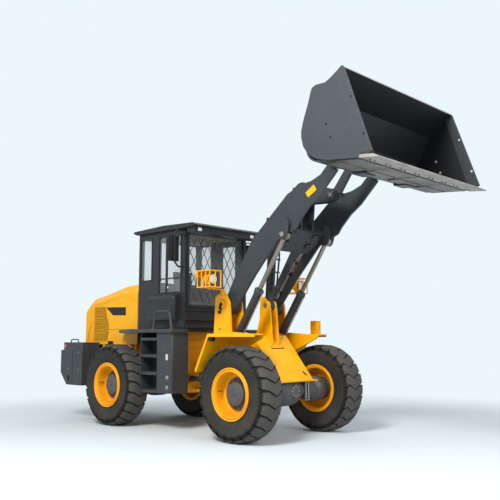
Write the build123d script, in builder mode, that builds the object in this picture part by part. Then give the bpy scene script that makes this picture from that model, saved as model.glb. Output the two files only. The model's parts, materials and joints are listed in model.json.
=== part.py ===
from build123d import *
import math
import os

os.makedirs("parts", exist_ok=True)

# Wheel loader. Millimetres, +X forward, +Y left, +Z up, ground at z = 0.
# Every x below is measured from the steering pin, which stands at pivot_x in
# the part's frame, so that the machine's box is centred on the origin.

# ---- driving dimensions -------------------------------------------------
bucket_pin = (2935.0, 3875.0)
edge_ahead = 1255.0       # bucket's pin to the tip of its cutting edge
reach = bucket_pin[0] + edge_ahead
tail = 3200.0             # steering pin to the back of the counterweight
pivot_x = (tail - reach) / 2

axle_x = 1500.0           # front axle, and minus this the rear one
tyre_radius = 675.0
tyre_width = 445.0
track_half = 932.5
bead_radius = 330.0
rim_flange_radius = 368.0
hub_bore_radius = 62.0
hub_cap_radius = 165.0

fit = 0.05                # radial running clearance of pins in their eyes
rod_play = 0.3            # radial clearance of rods in their barrels
gap = 5.0                 # side clearance between moving pieces
seat = 0.3                # gap between pieces that only touch

# Pins of the arms and linkage, as (x, z)
arm_pin = (840.0, 1970.0)
bell_pin = (1960.0, 3620.0)
bell_rod_pin = (1300.0, 3150.0)
link_pin = (2529.0, 3510.0)
bucket_link_pin = (2945.0, 4060.0)
tilt_base = (1210.0, 1960.0)
lift_base = (840.0, 1250.0)
lift_eye = (1980.0, 2944.0)

arm_mid = 480.0           # arm plate's middle, left and right
arm_plate = 40.0
arm_boss_half = 95.0
arm_pin_radius = 45.0
bucket_pin_radius = 42.0
tower_inner = (340.0, 375.0)
tower_outer = (600.0, 640.0)

cheek = (52.0, 87.0)      # bellcrank cheeks and the bucket's middle ears
eye_half = 45.0           # half width of eyes that run between the cheeks
bell_bracket = (112.0, 147.0)
lift_cheek_gap = 40.0
lift_cheek = 28.0

lift_barrel_radius = 68.0
lift_rod_radius = 35.0
lift_barrel_length = 1115.0
lift_rod_length = 1100.0
tilt_barrel_radius = 78.0
tilt_rod_radius = 38.0
tilt_barrel_length = 900.0
tilt_rod_length = 830.0
steer_barrel_radius = 42.0
steer_rod_radius = 20.0
steer_barrel_length = 450.0
steer_rod_length = 450.0
steer_y = 300.0
steer_z = 800.0
steer_rear_x = -260.0
steer_front_x = 440.0

steer_pin_radius = 40.0
joint_levels = (600.0, 1050.0)
lug_thick = 40.0
lug_radius = 85.0

bucket_half = 1340.0
edge_half = 1360.0
edge_plate = 260.0        # cutting edge's depth, floor to tip
side_plate = 24.0
shell_plate = 20.0

hood_half = 600.0
hood_wall = 25.0
cab_half = 700.0
cab_wall = 50.0
cab_back = -1230.0
cab_front = 0.0
cab_floor_z = 1610.0
cab_top_z = 3235.0
roof_half = 760.0


# ---- helpers: they add to the part that is being built ------------------
def slab(points, y_low, y_high, mode=Mode.ADD):
    """Side profile of (x, z) points, straight across from y_low to y_high."""
    with BuildSketch(Plane.XZ.offset(-y_high)) as profile:
        with BuildLine():
            Polyline(*[(x + pivot_x, z) for x, z in points], close=True)
        make_face()
    extrude(profile.sketch, amount=y_high - y_low, mode=mode)


def deck(points, z_low, z_high, mode=Mode.ADD):
    """Plan of (x, y) points, straight up from z_low to z_high."""
    with BuildSketch(Plane.XY.offset(z_low)) as plan:
        with BuildLine():
            Polyline(*[(x + pivot_x, y) for x, y in points], close=True)
        make_face()
    extrude(plan.sketch, amount=z_high - z_low, mode=mode)


def block(x_low, x_high, y_low, y_high, z_low, z_high, mode=Mode.ADD):
    """Box between two corners."""
    corners = [(x_low, z_low), (x_high, z_low), (x_high, z_high), (x_low, z_high)]
    slab(corners, y_low, y_high, mode)


def disc(centre, radius, y_low, y_high, mode=Mode.ADD):
    """Round bar or bore along Y about an (x, z) centre."""
    with BuildSketch(Plane.XZ.offset(-y_high)) as profile:
        with Locations((centre[0] + pivot_x, centre[1])):
            Circle(radius)
    extrude(profile.sketch, amount=y_high - y_low, mode=mode)


def post(x, y, radius, z_low, z_high, mode=Mode.ADD):
    """Round bar or bore along Z."""
    with BuildSketch(Plane.XY.offset(z_low)) as plan:
        with Locations((x + pivot_x, y)):
            Circle(radius)
    extrude(plan.sketch, amount=z_high - z_low, mode=mode)


def bar(start, end, radius, mode=Mode.ADD):
    """Round bar between two (x, y, z) points."""
    first = Vector(start[0] + pivot_x, start[1], start[2])
    run = Vector(end[0] + pivot_x, end[1], end[2]) - first
    with BuildSketch(Plane(origin=first, z_dir=run)) as section:
        Circle(radius)
    extrude(section.sketch, amount=run.length, mode=mode)


def bent_tube(points, radius, bend, mode=Mode.ADD):
    """Round tube through (x, y, z) points with a bend at each corner."""
    with BuildLine() as path:
        FilletPolyline(*[(x + pivot_x, y, z) for x, y, z in points], radius=bend)
    start = path.line @ 0
    with BuildSketch(Plane(origin=start, z_dir=path.line % 0)) as section:
        Circle(radius)
    sweep(section.sketch, path=path.line, mode=mode)


def along(start, end, distance):
    """The (x, z) point at a distance from start towards end."""
    length = math.dist(start, end)
    share = distance / length
    return tuple(a + (b - a) * share for a, b in zip(start, end))


def strap(start, end, r_start, r_end, y_low, y_high, mode=Mode.ADD):
    """Round-ended plate, two circles and their outer tangents, across Y."""
    with BuildSketch(Plane.XZ.offset(-y_high)) as profile:
        with Locations((start[0] + pivot_x, start[1])):
            Circle(r_start)
        with Locations((end[0] + pivot_x, end[1])):
            Circle(r_end)
        make_hull()
    extrude(profile.sketch, amount=y_high - y_low, mode=mode)


def finish(name, label):
    """Label the piece and write its STEP file."""
    name.part.label = label
    export_step(name.part, "parts/" + label + ".step")


sides = (("right", -1), ("left", 1))


def span(side, low, high):
    """The y range of a piece that lies from low to high off the middle."""
    return (low, high) if side > 0 else (-high, -low)


# ---- rear frame ---------------------------------------------------------
rear_rail = (330.0, 365.0)
rail_low = 560.0
rail_high = 1000.0
rail_back = -2480.0 + seat
rail_front = -330.0
lug_nose = 60.0
lug_root = 230.0
bulkhead_half = 639.0
axle_pad_rear = 860.0
axle_pad_front = 815.0
pad_reach = 130.0

with BuildPart() as rear_frame:
    for label, side in sides:
        y_low, y_high = span(side, *rear_rail)
        slab([(rail_back, 700), (-1850, 700), (-1700, axle_pad_rear), (-1300, axle_pad_rear),
              (-1150, rail_low), (rail_front, rail_low), (rail_front, 1100), (-700, 1100),
              (-1150, rail_high + 60), (rail_back, rail_high)], y_low, y_high)
    block(rail_front - 40, rail_front, -rear_rail[0], rear_rail[0], rail_low, 1100)
    block(rail_back, rail_back + 40, -rear_rail[0], rear_rail[0], 700, rail_high)
    for x_low in (-1190, -370):
        block(x_low, x_low + 40, -bulkhead_half, bulkhead_half, rail_high, cab_floor_z - 50)
    for x_low in (-2420, -1460):
        for label, side in sides:
            y_low, y_high = span(side, rear_rail[0], hood_half)
            block(x_low, x_low + 40, y_low, y_high, rail_high, 1345)
    for level in joint_levels:
        low = level - lug_thick / 2
        high = level + lug_thick / 2
        deck([(rail_front, -lug_root), (-lug_nose, -lug_radius), (0, -lug_radius), (0, lug_radius),
              (-lug_nose, lug_radius), (rail_front, lug_root)], low, high)
        post(0, 0, lug_radius, low, high)
        post(0, 0, steer_pin_radius + fit, low, high, Mode.SUBTRACT)
    block(rail_front - 45, rail_front + 5, -90, 90, 700, 900, Mode.SUBTRACT)
    for label, side in sides:
        y_low, y_high = span(side, steer_y - 45, steer_y + 45)
        for low, high in ((steer_z - 75, steer_z - 50), (steer_z + 50, steer_z + 75)):
            block(rail_front, steer_rear_x, y_low, y_high, low, high)
            post(steer_rear_x, side * steer_y, 45, low, high)
        post(steer_rear_x, side * steer_y, 20, steer_z - 75, steer_z + 75)
finish(rear_frame, "rear_frame")

# ---- counterweight, engine and hood --------------------------------------
weight_half = 1000.0
weight_front = -2480.0
weight_low = 610.0
weight_top = 1240.0
tow_depth = 120.0
tow_half = 90.0
tow_z = (900.0, 1040.0)
tow_pin_radius = 25.0
hood_low = 1345.0
hood_back = -3010.0
hood_front = -1390.0

with BuildPart() as counterweight:
    slab([(-tail, weight_top), (-tail, 830), (-2990, weight_low), (weight_front, weight_low),
          (weight_front, weight_top)], -weight_half, weight_half)
    block(-3000, -2500, -560, 560, weight_top, hood_low)
    for label, side in sides:
        y_low, y_high = span(side, 640, 990)
        block(-3120, weight_front, y_low, y_high, weight_top, 1380)
    block(-tail, -tail + tow_depth, -tow_half, tow_half, *tow_z, Mode.SUBTRACT)
    post(-tail + tow_depth / 2, 0, tow_pin_radius, tow_z[0] - 60, weight_top, Mode.SUBTRACT)
finish(counterweight, "counterweight")

with BuildPart() as engine_block:
    block(-2330, -1520, -280, 280, 920, 1500)
    block(-2200, -1650, -220, 220, 1500, 1780)
    for x_low in (-2300, -1640):
        block(x_low, x_low + 90, -rear_rail[0], rear_rail[0], 930, 1000)
finish(engine_block, "engine_block")

# x, height of the shoulder crease, height of the top
hood_rows = (
    (hood_front, 2255, 2430),
    (-1889, 2235, 2405),
    (-2357, 2160, 2307),
    (-2850, 2062, 2219),
    (hood_back, 1940, 2110),
)


def hood_body(wall, mode):
    """The hood's outer form, or with a wall its inner space."""
    sketches = []
    for x, crease, top in hood_rows:
        if x == hood_back:
            x = x + wall
        low = hood_low if wall == 0 else hood_low - 1
        half = hood_half - wall
        with BuildSketch(Plane(origin=(x + pivot_x, 0, 0), x_dir=(0, 1, 0), z_dir=(1, 0, 0))) as row:
            with BuildLine():
                Polyline((-half, low), (-half, crease), (-half + 90, top - 35 - wall),
                         (-half + 200, top - wall), (half - 200, top - wall),
                         (half - 90, top - 35 - wall), (half, crease), (half, low), close=True)
            make_face()
        sketches.append(row.sketch)
    loft(sketches, ruled=True, mode=mode)


side_grille = (-2730.0, -2400.0, 1400.0, 2030.0)
rear_grille = (430.0, 1450.0, 1850.0)
with BuildPart() as hood:
    hood_body(0, Mode.ADD)
    hood_body(hood_wall, Mode.SUBTRACT)
    for label, side in sides:
        y_low, y_high = span(side, hood_half - hood_wall - 5, hood_half + 5)
        block(side_grille[0], side_grille[1], y_low, y_high, side_grille[2], side_grille[3],
              Mode.SUBTRACT)
    block(hood_back - 5, hood_back + hood_wall + 5, -rear_grille[0], rear_grille[0],
          rear_grille[1], rear_grille[2], Mode.SUBTRACT)
finish(hood, "hood")

grille_slats = 9
slat = 14.0
with BuildPart() as hood_grilles:
    for label, side in sides:
        y_low, y_high = span(side, hood_half - hood_wall, hood_half - 5)
        block(*side_grille[:2], y_low, y_high, *side_grille[2:])
        rise = (side_grille[3] - side_grille[2]) / grille_slats
        for step in range(grille_slats):
            low = side_grille[2] + step * rise + slat
            block(side_grille[0] + 20, side_grille[1] - 20, y_low, y_high, low,
                  low + rise - slat, Mode.SUBTRACT)
    block(hood_back + 5, hood_back + hood_wall, -rear_grille[0], rear_grille[0], *rear_grille[1:])
    rise = (rear_grille[2] - rear_grille[1]) / grille_slats
    for step in range(grille_slats):
        low = rear_grille[1] + step * rise + slat
        block(hood_back + 5, hood_back + hood_wall, -rear_grille[0] + 20, rear_grille[0] - 20, low,
              low + rise - slat, Mode.SUBTRACT)
finish(hood_grilles, "hood_grilles")

# ---- axles ---------------------------------------------------------------
housing_radius = 125.0
spindle_radius = 62.0
spindle_reach = 880.0
drum = (640.0, 785.0, 195.0)
pinion_reach = 420.0


def axle(x, pad_top, toward):
    """Axle housing with its differential, drums and wheel spindles."""
    centre = (x, tyre_radius)
    disc(centre, housing_radius, -drum[0], drum[0])
    disc(centre, 215, -150, 150)
    disc(centre, 165, -230, 230)
    disc(centre, spindle_radius, -spindle_reach, spindle_reach)
    bar((x, 0, tyre_radius), (x + toward * pinion_reach, 0, tyre_radius), 85)
    for label, side in sides:
        y_low, y_high = span(side, drum[0], drum[1])
        disc(centre, drum[2], y_low, y_high)
        y_low, y_high = span(side, rear_rail[0] - 10, rear_rail[1] + 20)
        block(x - pad_reach, x + pad_reach, y_low, y_high, tyre_radius, pad_top)


with BuildPart() as rear_axle:
    axle(-axle_x, axle_pad_rear, 1)
finish(rear_axle, "rear_axle")

with BuildPart() as front_axle:
    axle(axle_x, axle_pad_front, -1)
finish(front_axle, "front_axle")

shaft_radius = 42.0
shaft_z = 760.0
shaft_bend = 700.0
flange = (15.0, 62.0)
with BuildPart() as rear_driveshaft:
    flange_x = -axle_x + pinion_reach + seat
    bar((flange_x, 0, tyre_radius), (flange_x + flange[0], 0, tyre_radius), flange[1])
    bar((flange_x + flange[0], 0, tyre_radius), (-shaft_bend, 0, shaft_z), 42)
    bar((-shaft_bend, 0, shaft_z), (-80, 0, shaft_z), shaft_radius)
finish(rear_driveshaft, "rear_driveshaft")

with BuildPart() as front_driveshaft:
    bar((80, 0, shaft_z), (shaft_bend, 0, shaft_z), shaft_radius)
    flange_x = axle_x - pinion_reach - seat
    bar((flange_x - flange[0], 0, tyre_radius), (flange_x, 0, tyre_radius), flange[1])
    bar((shaft_bend, 0, shaft_z), (flange_x - flange[0], 0, tyre_radius), 42)
finish(front_driveshaft, "front_driveshaft")

# ---- platforms, tanks, steps and rails ------------------------------------
platform_low = 1545.0
platform_high = 1600.0
platform_half = 1040.0
tank_x = (-335.0, 60.0)
tank_y = (bulkhead_half + seat, 1000.0)
tank_low = 600.0
step_x = (-800.0, -335.0)
step_levels = (600.0, 880.0, 1160.0, 1430.0)
step_plate = 12.0
rail_radius = 17.0

with BuildPart() as side_platforms:
    for label, side in sides:
        deck([(-1740, side * 610), (-1700, side * 760), (-1010, side * platform_half),
              (100, side * platform_half), (100, side * (cab_half + seat)),
              (cab_back - 20, side * (cab_half + seat)), (cab_back - 20, side * 610)],
             platform_low, platform_high)
finish(side_platforms, "side_platforms")

with BuildPart() as side_tanks:
    for label, side in sides:
        y_low, y_high = span(side, *tank_y)
        block(tank_x[0], tank_x[1], y_low, y_high, tank_low, platform_low - seat)
    vertical = side_tanks.edges().filter_by(Axis.Z)
    fillet(vertical, radius=40)
finish(side_tanks, "side_tanks")

with BuildPart() as steps:
    for label, side in sides:
        y_low, y_high = span(side, tank_y[0], 960)
        for x_low in (step_x[0], step_x[1] - seat - step_plate):
            block(x_low, x_low + step_plate, y_low, y_high, 590, platform_low - seat)
        for level in step_levels:
            y_low, y_high = span(side, 760, 960)
            block(step_x[0], step_x[1] - seat, y_low, y_high, level, level + 25)
finish(steps, "steps")

# side, first x, last x and height of each hand rail
rail_rows = ((-1, -420, 50, 1880), (1, -1060, -790, 1880))
with BuildPart() as hand_rails:
    for side, x_back, x_front, height in rail_rows:
        y = side * (platform_half - 40)
        foot = platform_high + 7
        bent_tube([(x_back, y, foot), (x_back + 60, y, height), (x_front - 60, y, height),
                   (x_front, y, foot)], rail_radius, 90)
        for x in (x_back, x_front):
            post(x, y, 38, platform_high + seat, platform_high + 12)
finish(hand_rails, "hand_rails")

# ---- cab ------------------------------------------------------------------
window_low = 2200.0
quarter_low = 2430.0
window_top = 3150.0
screen_low = 1985.0
quarter_x = (-1180.0, -870.0)
window_x = (-670.0, -100.0)
door_x = (-655.0, -165.0)
door_z = (1650.0, 3160.0)
door_gap = 5.0
screen_half = 620.0
hinge_x = door_x[0] - door_gap / 2
hinge_y = cab_half + 6.0
hinge_pin_radius = 6.0
knuckle_radius = 13.0
knuckle_levels = (1800.0, 2900.0)
knuckle = 60.0

with BuildPart() as cab_frame:
    block(cab_back, cab_front, -cab_half, cab_half, cab_floor_z - 50 + seat, cab_top_z)
    block(cab_back + cab_wall, cab_front - cab_wall, -cab_half + cab_wall, cab_half - cab_wall,
          cab_floor_z, cab_top_z - 60, Mode.SUBTRACT)
    for label, side in sides:
        y_low, y_high = span(side, cab_half - cab_wall - 5, cab_half + 5)
        block(quarter_x[0], quarter_x[1], y_low, y_high, quarter_low, window_top, Mode.SUBTRACT)
    block(window_x[0], window_x[1], -cab_half - 5, -cab_half + cab_wall + 5, window_low, window_top,
          Mode.SUBTRACT)
    block(door_x[0] - door_gap, door_x[1] + door_gap, cab_half - cab_wall - 5, cab_half + 5,
          door_z[0] - door_gap, door_z[1] + door_gap, Mode.SUBTRACT)
    block(cab_back - 5, cab_back + cab_wall + 5, -screen_half, screen_half, quarter_low, window_top,
          Mode.SUBTRACT)
    block(cab_front - cab_wall - 5, cab_front + 5, -screen_half, screen_half, screen_low, window_top,
          Mode.SUBTRACT)
    for level in knuckle_levels:
        post(hinge_x, hinge_y, knuckle_radius + gap, level, level + knuckle + gap, Mode.SUBTRACT)
        post(hinge_x, hinge_y, knuckle_radius, level - knuckle, level - seat)
        post(hinge_x, hinge_y, hinge_pin_radius, level - knuckle, level + knuckle)
finish(cab_frame, "cab_frame")

glass = 6.0
pane_inset = 22.0
with BuildPart() as cab_glass:
    for label, side in sides:
        y_low, y_high = span(side, cab_half - pane_inset - glass, cab_half - pane_inset)
        block(*quarter_x, y_low, y_high, quarter_low, window_top)
    block(*window_x, -cab_half + pane_inset, -cab_half + pane_inset + glass, window_low, window_top)
    block(cab_back + pane_inset, cab_back + pane_inset + glass, -screen_half, screen_half,
          quarter_low, window_top)
    block(cab_front - pane_inset - glass, cab_front - pane_inset, -screen_half, screen_half,
          screen_low, window_top)
finish(cab_glass, "cab_glass")

with BuildPart() as cab_roof:
    slab([(-1340, 3275), (-1300, 3300), (-500, 3325), (240, 3300), (290, 3265), (240, cab_top_z + seat),
          (-1250, cab_top_z + seat)], -roof_half, roof_half)
    block(60, 240, -roof_half + 40, roof_half - 40, 3150, cab_top_z + seat)
finish(cab_roof, "cab_roof")

guard_pitch = 150.0
guard_bar = 9.0
guard_x = cab_front + 14
with BuildPart() as windscreen_guard:
    middle = (screen_low + window_top) / 2
    height = window_top - screen_low
    plane = Plane(origin=(guard_x + pivot_x, 0, middle), x_dir=(0, 1, 0), z_dir=(1, 0, 0))
    with BuildSketch(plane) as mesh:
        for turn in (-62, 62):
            for number in range(-8, 9):
                with Locations((number * guard_pitch, 0)):
                    Rectangle(2 * height, guard_bar, rotation=turn)
        Rectangle(2 * screen_half + 30, height + 30, mode=Mode.INTERSECT)
        Rectangle(2 * screen_half + 60, height + 60)
        Rectangle(2 * screen_half + 20, height + 20, mode=Mode.SUBTRACT)
        for turn in (-62, 62):
            for number in range(-8, 9):
                with Locations((number * guard_pitch, 0)):
                    Rectangle(height + 20, guard_bar, rotation=turn)
        Rectangle(2 * screen_half + 60, height + 60, mode=Mode.INTERSECT)
    extrude(mesh.sketch, amount=8)
    for y in (-600, 600):
        for z in (screen_low - 20, window_top + 20):
            bar((cab_front, y, z), (guard_x, y, z), 12)
finish(windscreen_guard, "windscreen_guard")

with BuildPart() as side_locker:
    block(-790, -130, -cab_half - 130, -cab_half - seat, 1750, 2160)
    fillet(side_locker.edges().filter_by(Axis.X).group_by(Axis.Z)[-1].sort_by(Axis.Y)[0], radius=60)
    fillet(side_locker.faces().sort_by(Axis.X)[-1].edges().sort_by(Axis.Y)[0], radius=60)
finish(side_locker, "side_locker")

with BuildPart() as cab_door:
    block(*door_x, cab_half - cab_wall, cab_half, *door_z)
    block(door_x[0] + 60, door_x[1] - 60, cab_half - cab_wall - 5, cab_half + 5, 2150,
          door_z[1] - 70, Mode.SUBTRACT)
    block(door_x[0] + 60, door_x[1] - 60, cab_half - cab_wall - 5, cab_half - cab_wall + 25,
          door_z[0] + 60, 2080, Mode.SUBTRACT)
    for level in knuckle_levels:
        post(hinge_x, hinge_y, knuckle_radius + gap, level - knuckle - gap, level, Mode.SUBTRACT)
        post(hinge_x, hinge_y, knuckle_radius, level, level + knuckle)
        post(hinge_x, hinge_y, hinge_pin_radius + fit, level, level + knuckle, Mode.SUBTRACT)
finish(cab_door, "cab_door")

with BuildPart() as door_glass:
    block(door_x[0] + 60, door_x[1] - 60, cab_half - pane_inset - glass, cab_half - pane_inset, 2150,
          door_z[1] - 70)
finish(door_glass, "door_glass")

with BuildPart() as seat_unit:
    block(-860, -420, -240, 240, 1980, 2080)
    slab([(-880, 2060), (-780, 2060), (-840, 2640), (-930, 2640)], -220, 220)
    block(-800, -480, -180, 180, cab_floor_z, 1980)
finish(seat_unit, "driver_seat")

with BuildPart() as console:
    slab([(-200, cab_floor_z), (-80, cab_floor_z), (-100, 2250), (-190, 2250)], -110, 110)
    bar((-150, 0, 2240), (-260, 0, 2390), 22)
    with BuildSketch(Plane(origin=(-260 + pivot_x, 0, 2390), z_dir=(-0.59, 0, 0.81))) as ring:
        Circle(200)
        Circle(172, mode=Mode.SUBTRACT)
        Rectangle(360, 26)
        Circle(40)
    extrude(ring.sketch, amount=24)
finish(console, "steering_console")

mirror_x = (-110.0, -50.0)
with BuildPart() as mirrors:
    for label, side in sides:
        y_low, y_high = span(side, 790, 1000)
        block(*mirror_x, y_low, y_high, 2690, 3100)
        wall = side * (cab_half + seat)
        bent_tube([(-25, wall, 3200), (-25, side * 850, 3200), (-25, side * 895, 3120),
                   (-25, side * 895, 2670), (-25, side * 820, 2600), (-25, wall, 2600)], 14, 25)
        bar((-25, side * 895, 2900), (-60, side * 895, 2900), 20)
finish(mirrors, "mirrors")

# ---- front frame -----------------------------------------------------------
front_back = 520.0
fork_thick = 30.0
neck_half = 150.0
neck_plate = 30.0
tower_top = 2130.0
face = ((1217.0, 1496.0), (1774.0, 825.0))
face_plate = 25.0
fork_low = joint_levels[0] - lug_thick / 2 - gap - fork_thick
fork_high = joint_levels[1] + lug_thick / 2 + gap + fork_thick
tower_bores = ((arm_pin, arm_pin_radius), (lift_base, arm_pin_radius))

with BuildPart() as front_frame:
    for label, side in sides:
        y_low, y_high = span(side, *tower_inner)
        slab([(front_back, fork_low), (front_back, 1150), (660, 1400), (690, 2080),
              (745, tower_top), (890, tower_top), (972, 1986), (1005, 1553), face[0], face[1],
              (1740, axle_pad_front), (1300, axle_pad_front), (1150, 700), (900, fork_low)],
             y_low, y_high)
        y_low, y_high = span(side, *tower_outer)
        slab([(600, 1040), (670, 2080), (745, tower_top), (890, tower_top), (972, 1986),
              (1005, 1553), (1683, 1500), (1640, 1450), (1180, 1250), (1060, 1040)], y_low, y_high)
        y_low, y_high = span(side, tower_inner[1], tower_outer[0])
        block(600, 1060, y_low, y_high, 1040, 1080)
        slab([(608, 1080), (640, 1080), (690, 1800), (650, 1800)], y_low, y_high)
        y_low, y_high = span(side, *cheek)
        slab([(990, 1460), (1140, 1930), (1294, 1930), (1345, 1360), (1100, 1360)], y_low, y_high)
        disc(tilt_base, 78, y_low, y_high)
        for centre, radius in tower_bores:
            disc(centre, radius + fit, *span(side, tower_inner[0] - 5, tower_outer[1] + 5),
                 Mode.SUBTRACT)
    disc(tilt_base, 38 + fit, -cheek[1] - 5, cheek[1] + 5, Mode.SUBTRACT)
    slab([face[0], face[1], (1753, 806), (1196, 1478)], -tower_inner[0], tower_inner[0])
    block(690, 1205, -tower_inner[0], tower_inner[0], 1450, 1480)
    block(front_back, front_back + 40, -tower_inner[0], tower_inner[0], fork_low, 1150)
    for low in (joint_levels[0] - lug_thick / 2 - gap - fork_thick, joint_levels[0] + lug_thick / 2 + gap,
                joint_levels[1] - lug_thick / 2 - gap - fork_thick,
                joint_levels[1] + lug_thick / 2 + gap):
        deck([(front_back, -neck_half), (150, -neck_half), (0, -lug_radius), (0, lug_radius),
              (150, neck_half), (front_back, neck_half)], low, low + fork_thick)
        post(0, 0, lug_radius, low, low + fork_thick)
        post(0, 0, steer_pin_radius + fit, low, low + fork_thick, Mode.SUBTRACT)
    for label, side in sides:
        y_low, y_high = span(side, neck_half - neck_plate, neck_half)
        block(200, front_back, y_low, y_high, fork_low, fork_high)
        y_low, y_high = span(side, steer_y - 45, steer_y + 45)
        for low, high in ((steer_z - 75, steer_z - 50), (steer_z + 50, steer_z + 75)):
            block(steer_front_x, front_back, y_low, y_high, low, high)
            post(steer_front_x, side * steer_y, 45, low, high)
    block(front_back - 5, front_back + 45, -90, 90, 620, 900, Mode.SUBTRACT)
finish(front_frame, "front_frame")

with BuildPart() as frame_pins:
    for level in joint_levels:
        post(0, 0, steer_pin_radius, level - lug_thick / 2 - gap - fork_thick,
             level + lug_thick / 2 + gap + fork_thick)
    for label, side in sides:
        for centre, radius in tower_bores:
            disc(centre, radius, *span(side, tower_inner[0] - 10, tower_outer[1] + 12))
finish(frame_pins, "frame_pins")

fender_z = (1500.0 + seat, 1520.0)
for label, side in sides:
    with BuildPart() as fender:
        inner = tower_outer[1] + seat
        deck([(1050, side * inner), (1050, side * 1150), (1470, side * 1090), (1683, side * 820),
              (1683, side * inner)], *fender_z)
        slab([(1050, fender_z[1]), (1075, fender_z[0]), (803, 960), (778, 975)],
             *span(side, inner, 1150))
        if label == "left":
            block(1205, 1325, 1000, 1120, fender_z[1], fender_z[1] + 220)
    finish(fender, "front_fender_" + label)

lamp_x = (770.0, 1060.0)
lamp_y = (880.0, 1120.0)
lamp_z = (2200.0, 2460.0)
lamp_bar = 9.0
with BuildPart() as headlamps:
    for label, side in sides:
        y_low, y_high = span(side, *lamp_y)
        for low in (lamp_z[0], lamp_z[1] - 15):
            block(*lamp_x, y_low, y_high, low, low + 15)
        for x in (lamp_x[0] + lamp_bar, lamp_x[1] - lamp_bar):
            for y in (lamp_y[0] + lamp_bar, (lamp_y[0] + lamp_y[1]) / 2, lamp_y[1] - lamp_bar):
                post(x, side * y, lamp_bar, lamp_z[0], lamp_z[1])
        for x in (lamp_x[0] + 100, lamp_x[1] - 100):
            post(x, side * (lamp_y[1] - lamp_bar), lamp_bar, lamp_z[0], lamp_z[1])
        y_mid = side * (lamp_y[0] + lamp_y[1]) / 2
        bar((880, y_mid, 2330), (1000, y_mid, 2330), 85)
        post(900, y_mid, 20, lamp_z[0], 2330)
        y_low, y_high = span(side, tower_outer[1] + seat, lamp_y[0] + 60)
        block(800, 880, y_low, y_high, lamp_z[0] - 12, lamp_z[0])
        y_low, y_high = span(side, tower_outer[1] + seat, tower_outer[1] + 15)
        block(800, 880, y_low, y_high, 2050, lamp_z[0])
finish(headlamps, "headlamps")

# ---- lift arms --------------------------------------------------------------
arm_upper = ((806, 2131), (885, 2265), (1309, 2920), (2036, 3531), (2282, 3634), (2490, 3658),
             (2655, 3721), (2790, 3850))
arm_lower = ((2950, 3742), (2638, 3435), (2447, 3301), (2276, 3131), (2202, 3031), (1833, 2877),
             (1384, 2400), (926, 1852))
beam = ((1650, 2760), (2000, 3050), (1905, 3165), (1555, 2875))
boss_radius = 150.0
tip_radius = 108.0
tip_boss_half = 50.0
eye_clear = 92.0
cheek_pad = ((1860, 3030), (1960, 3100), (2110, 3130), (2110, 3000))

with BuildPart() as lift_arms:
    for label, side in sides:
        low = arm_mid - arm_plate / 2
        high = arm_mid + arm_plate / 2
        y_low, y_high = span(side, low, high)
        slab(arm_upper + arm_lower, y_low, y_high)
        disc(arm_pin, boss_radius, *span(side, arm_mid - arm_boss_half, arm_mid + arm_boss_half))
        disc(bucket_pin, tip_radius, *span(side, arm_mid - tip_boss_half, arm_mid + tip_boss_half))
        for near in (arm_mid - lift_cheek_gap - lift_cheek, arm_mid + lift_cheek_gap):
            y_low, y_high = span(side, near, near + lift_cheek)
            strap(lift_eye, (2000, 3080), 78, 100, y_low, y_high)
        y_low, y_high = span(side, arm_mid - lift_cheek_gap, arm_mid + lift_cheek_gap)
        strap((1930, 3090), (2060, 3100), 30, 30, y_low, y_high)
        disc(arm_pin, arm_pin_radius + fit,
             *span(side, arm_mid - arm_boss_half - 5, arm_mid + arm_boss_half + 5), Mode.SUBTRACT)
        disc(bucket_pin, bucket_pin_radius + fit,
             *span(side, arm_mid - tip_boss_half - 5, arm_mid + tip_boss_half + 5), Mode.SUBTRACT)
        for near in (arm_mid - lift_cheek_gap - lift_cheek - 15, arm_mid + lift_cheek_gap + lift_cheek):
            disc(lift_eye, 42, *span(side, near, near + 15))
    slab(beam, -arm_mid + arm_plate / 2, arm_mid - arm_plate / 2)
    for label, side in sides:
        disc(lift_eye, eye_clear, *span(side, arm_mid - lift_cheek_gap, arm_mid + lift_cheek_gap),
             Mode.SUBTRACT)
        y_low, y_high = span(side, *bell_bracket)
        slab([(1600, 2840), (1840, 3710), (2050, 3710), (1990, 3060)], y_low, y_high)
        disc(bell_pin, 112, y_low, y_high)
    disc(bell_pin, 45 + fit, -bell_bracket[1] - 5, bell_bracket[1] + 5, Mode.SUBTRACT)
finish(lift_arms, "lift_arms")

# ---- bellcrank and link ------------------------------------------------------
bell_pin_radius = 45.0
bell_boss_radius = 125.0
bell_eye_radius = 165.0
link_pin_radius = 38.0
link_boss_radius = 78.0
link_disc_radius = 76.0
with BuildPart() as bell_pivot:
    disc(bell_pin, bell_pin_radius, -bell_bracket[1] - 10, bell_bracket[1] + 10)
    disc(bell_pin, bell_boss_radius, -bell_bracket[0] + gap, bell_bracket[0] - gap)
finish(bell_pivot, "bellcrank_pin")

with BuildPart() as bellcrank:
    for label, side in sides:
        y_low, y_high = span(side, *cheek)
        strap(bell_pin, bell_rod_pin, bell_eye_radius, 80, y_low, y_high)
        strap(bell_pin, link_pin, bell_eye_radius, 88, y_low, y_high)
        y_low, y_high = span(side, cheek[1], cheek[1] + 14)
        disc(bell_rod_pin, 45, y_low, y_high)
    strap(bell_pin, along(bell_pin, bell_rod_pin, 300), bell_eye_radius, 100, -cheek[0], cheek[0])
    strap(bell_pin, along(bell_pin, link_pin, 260), bell_eye_radius, 100, -cheek[0], cheek[0])
    disc(bell_pin, bell_boss_radius + fit, -bell_bracket[0], bell_bracket[0], Mode.SUBTRACT)
    disc(link_pin, link_pin_radius + fit, -cheek[1] - 5, cheek[1] + 5, Mode.SUBTRACT)
finish(bellcrank, "bellcrank")

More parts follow.
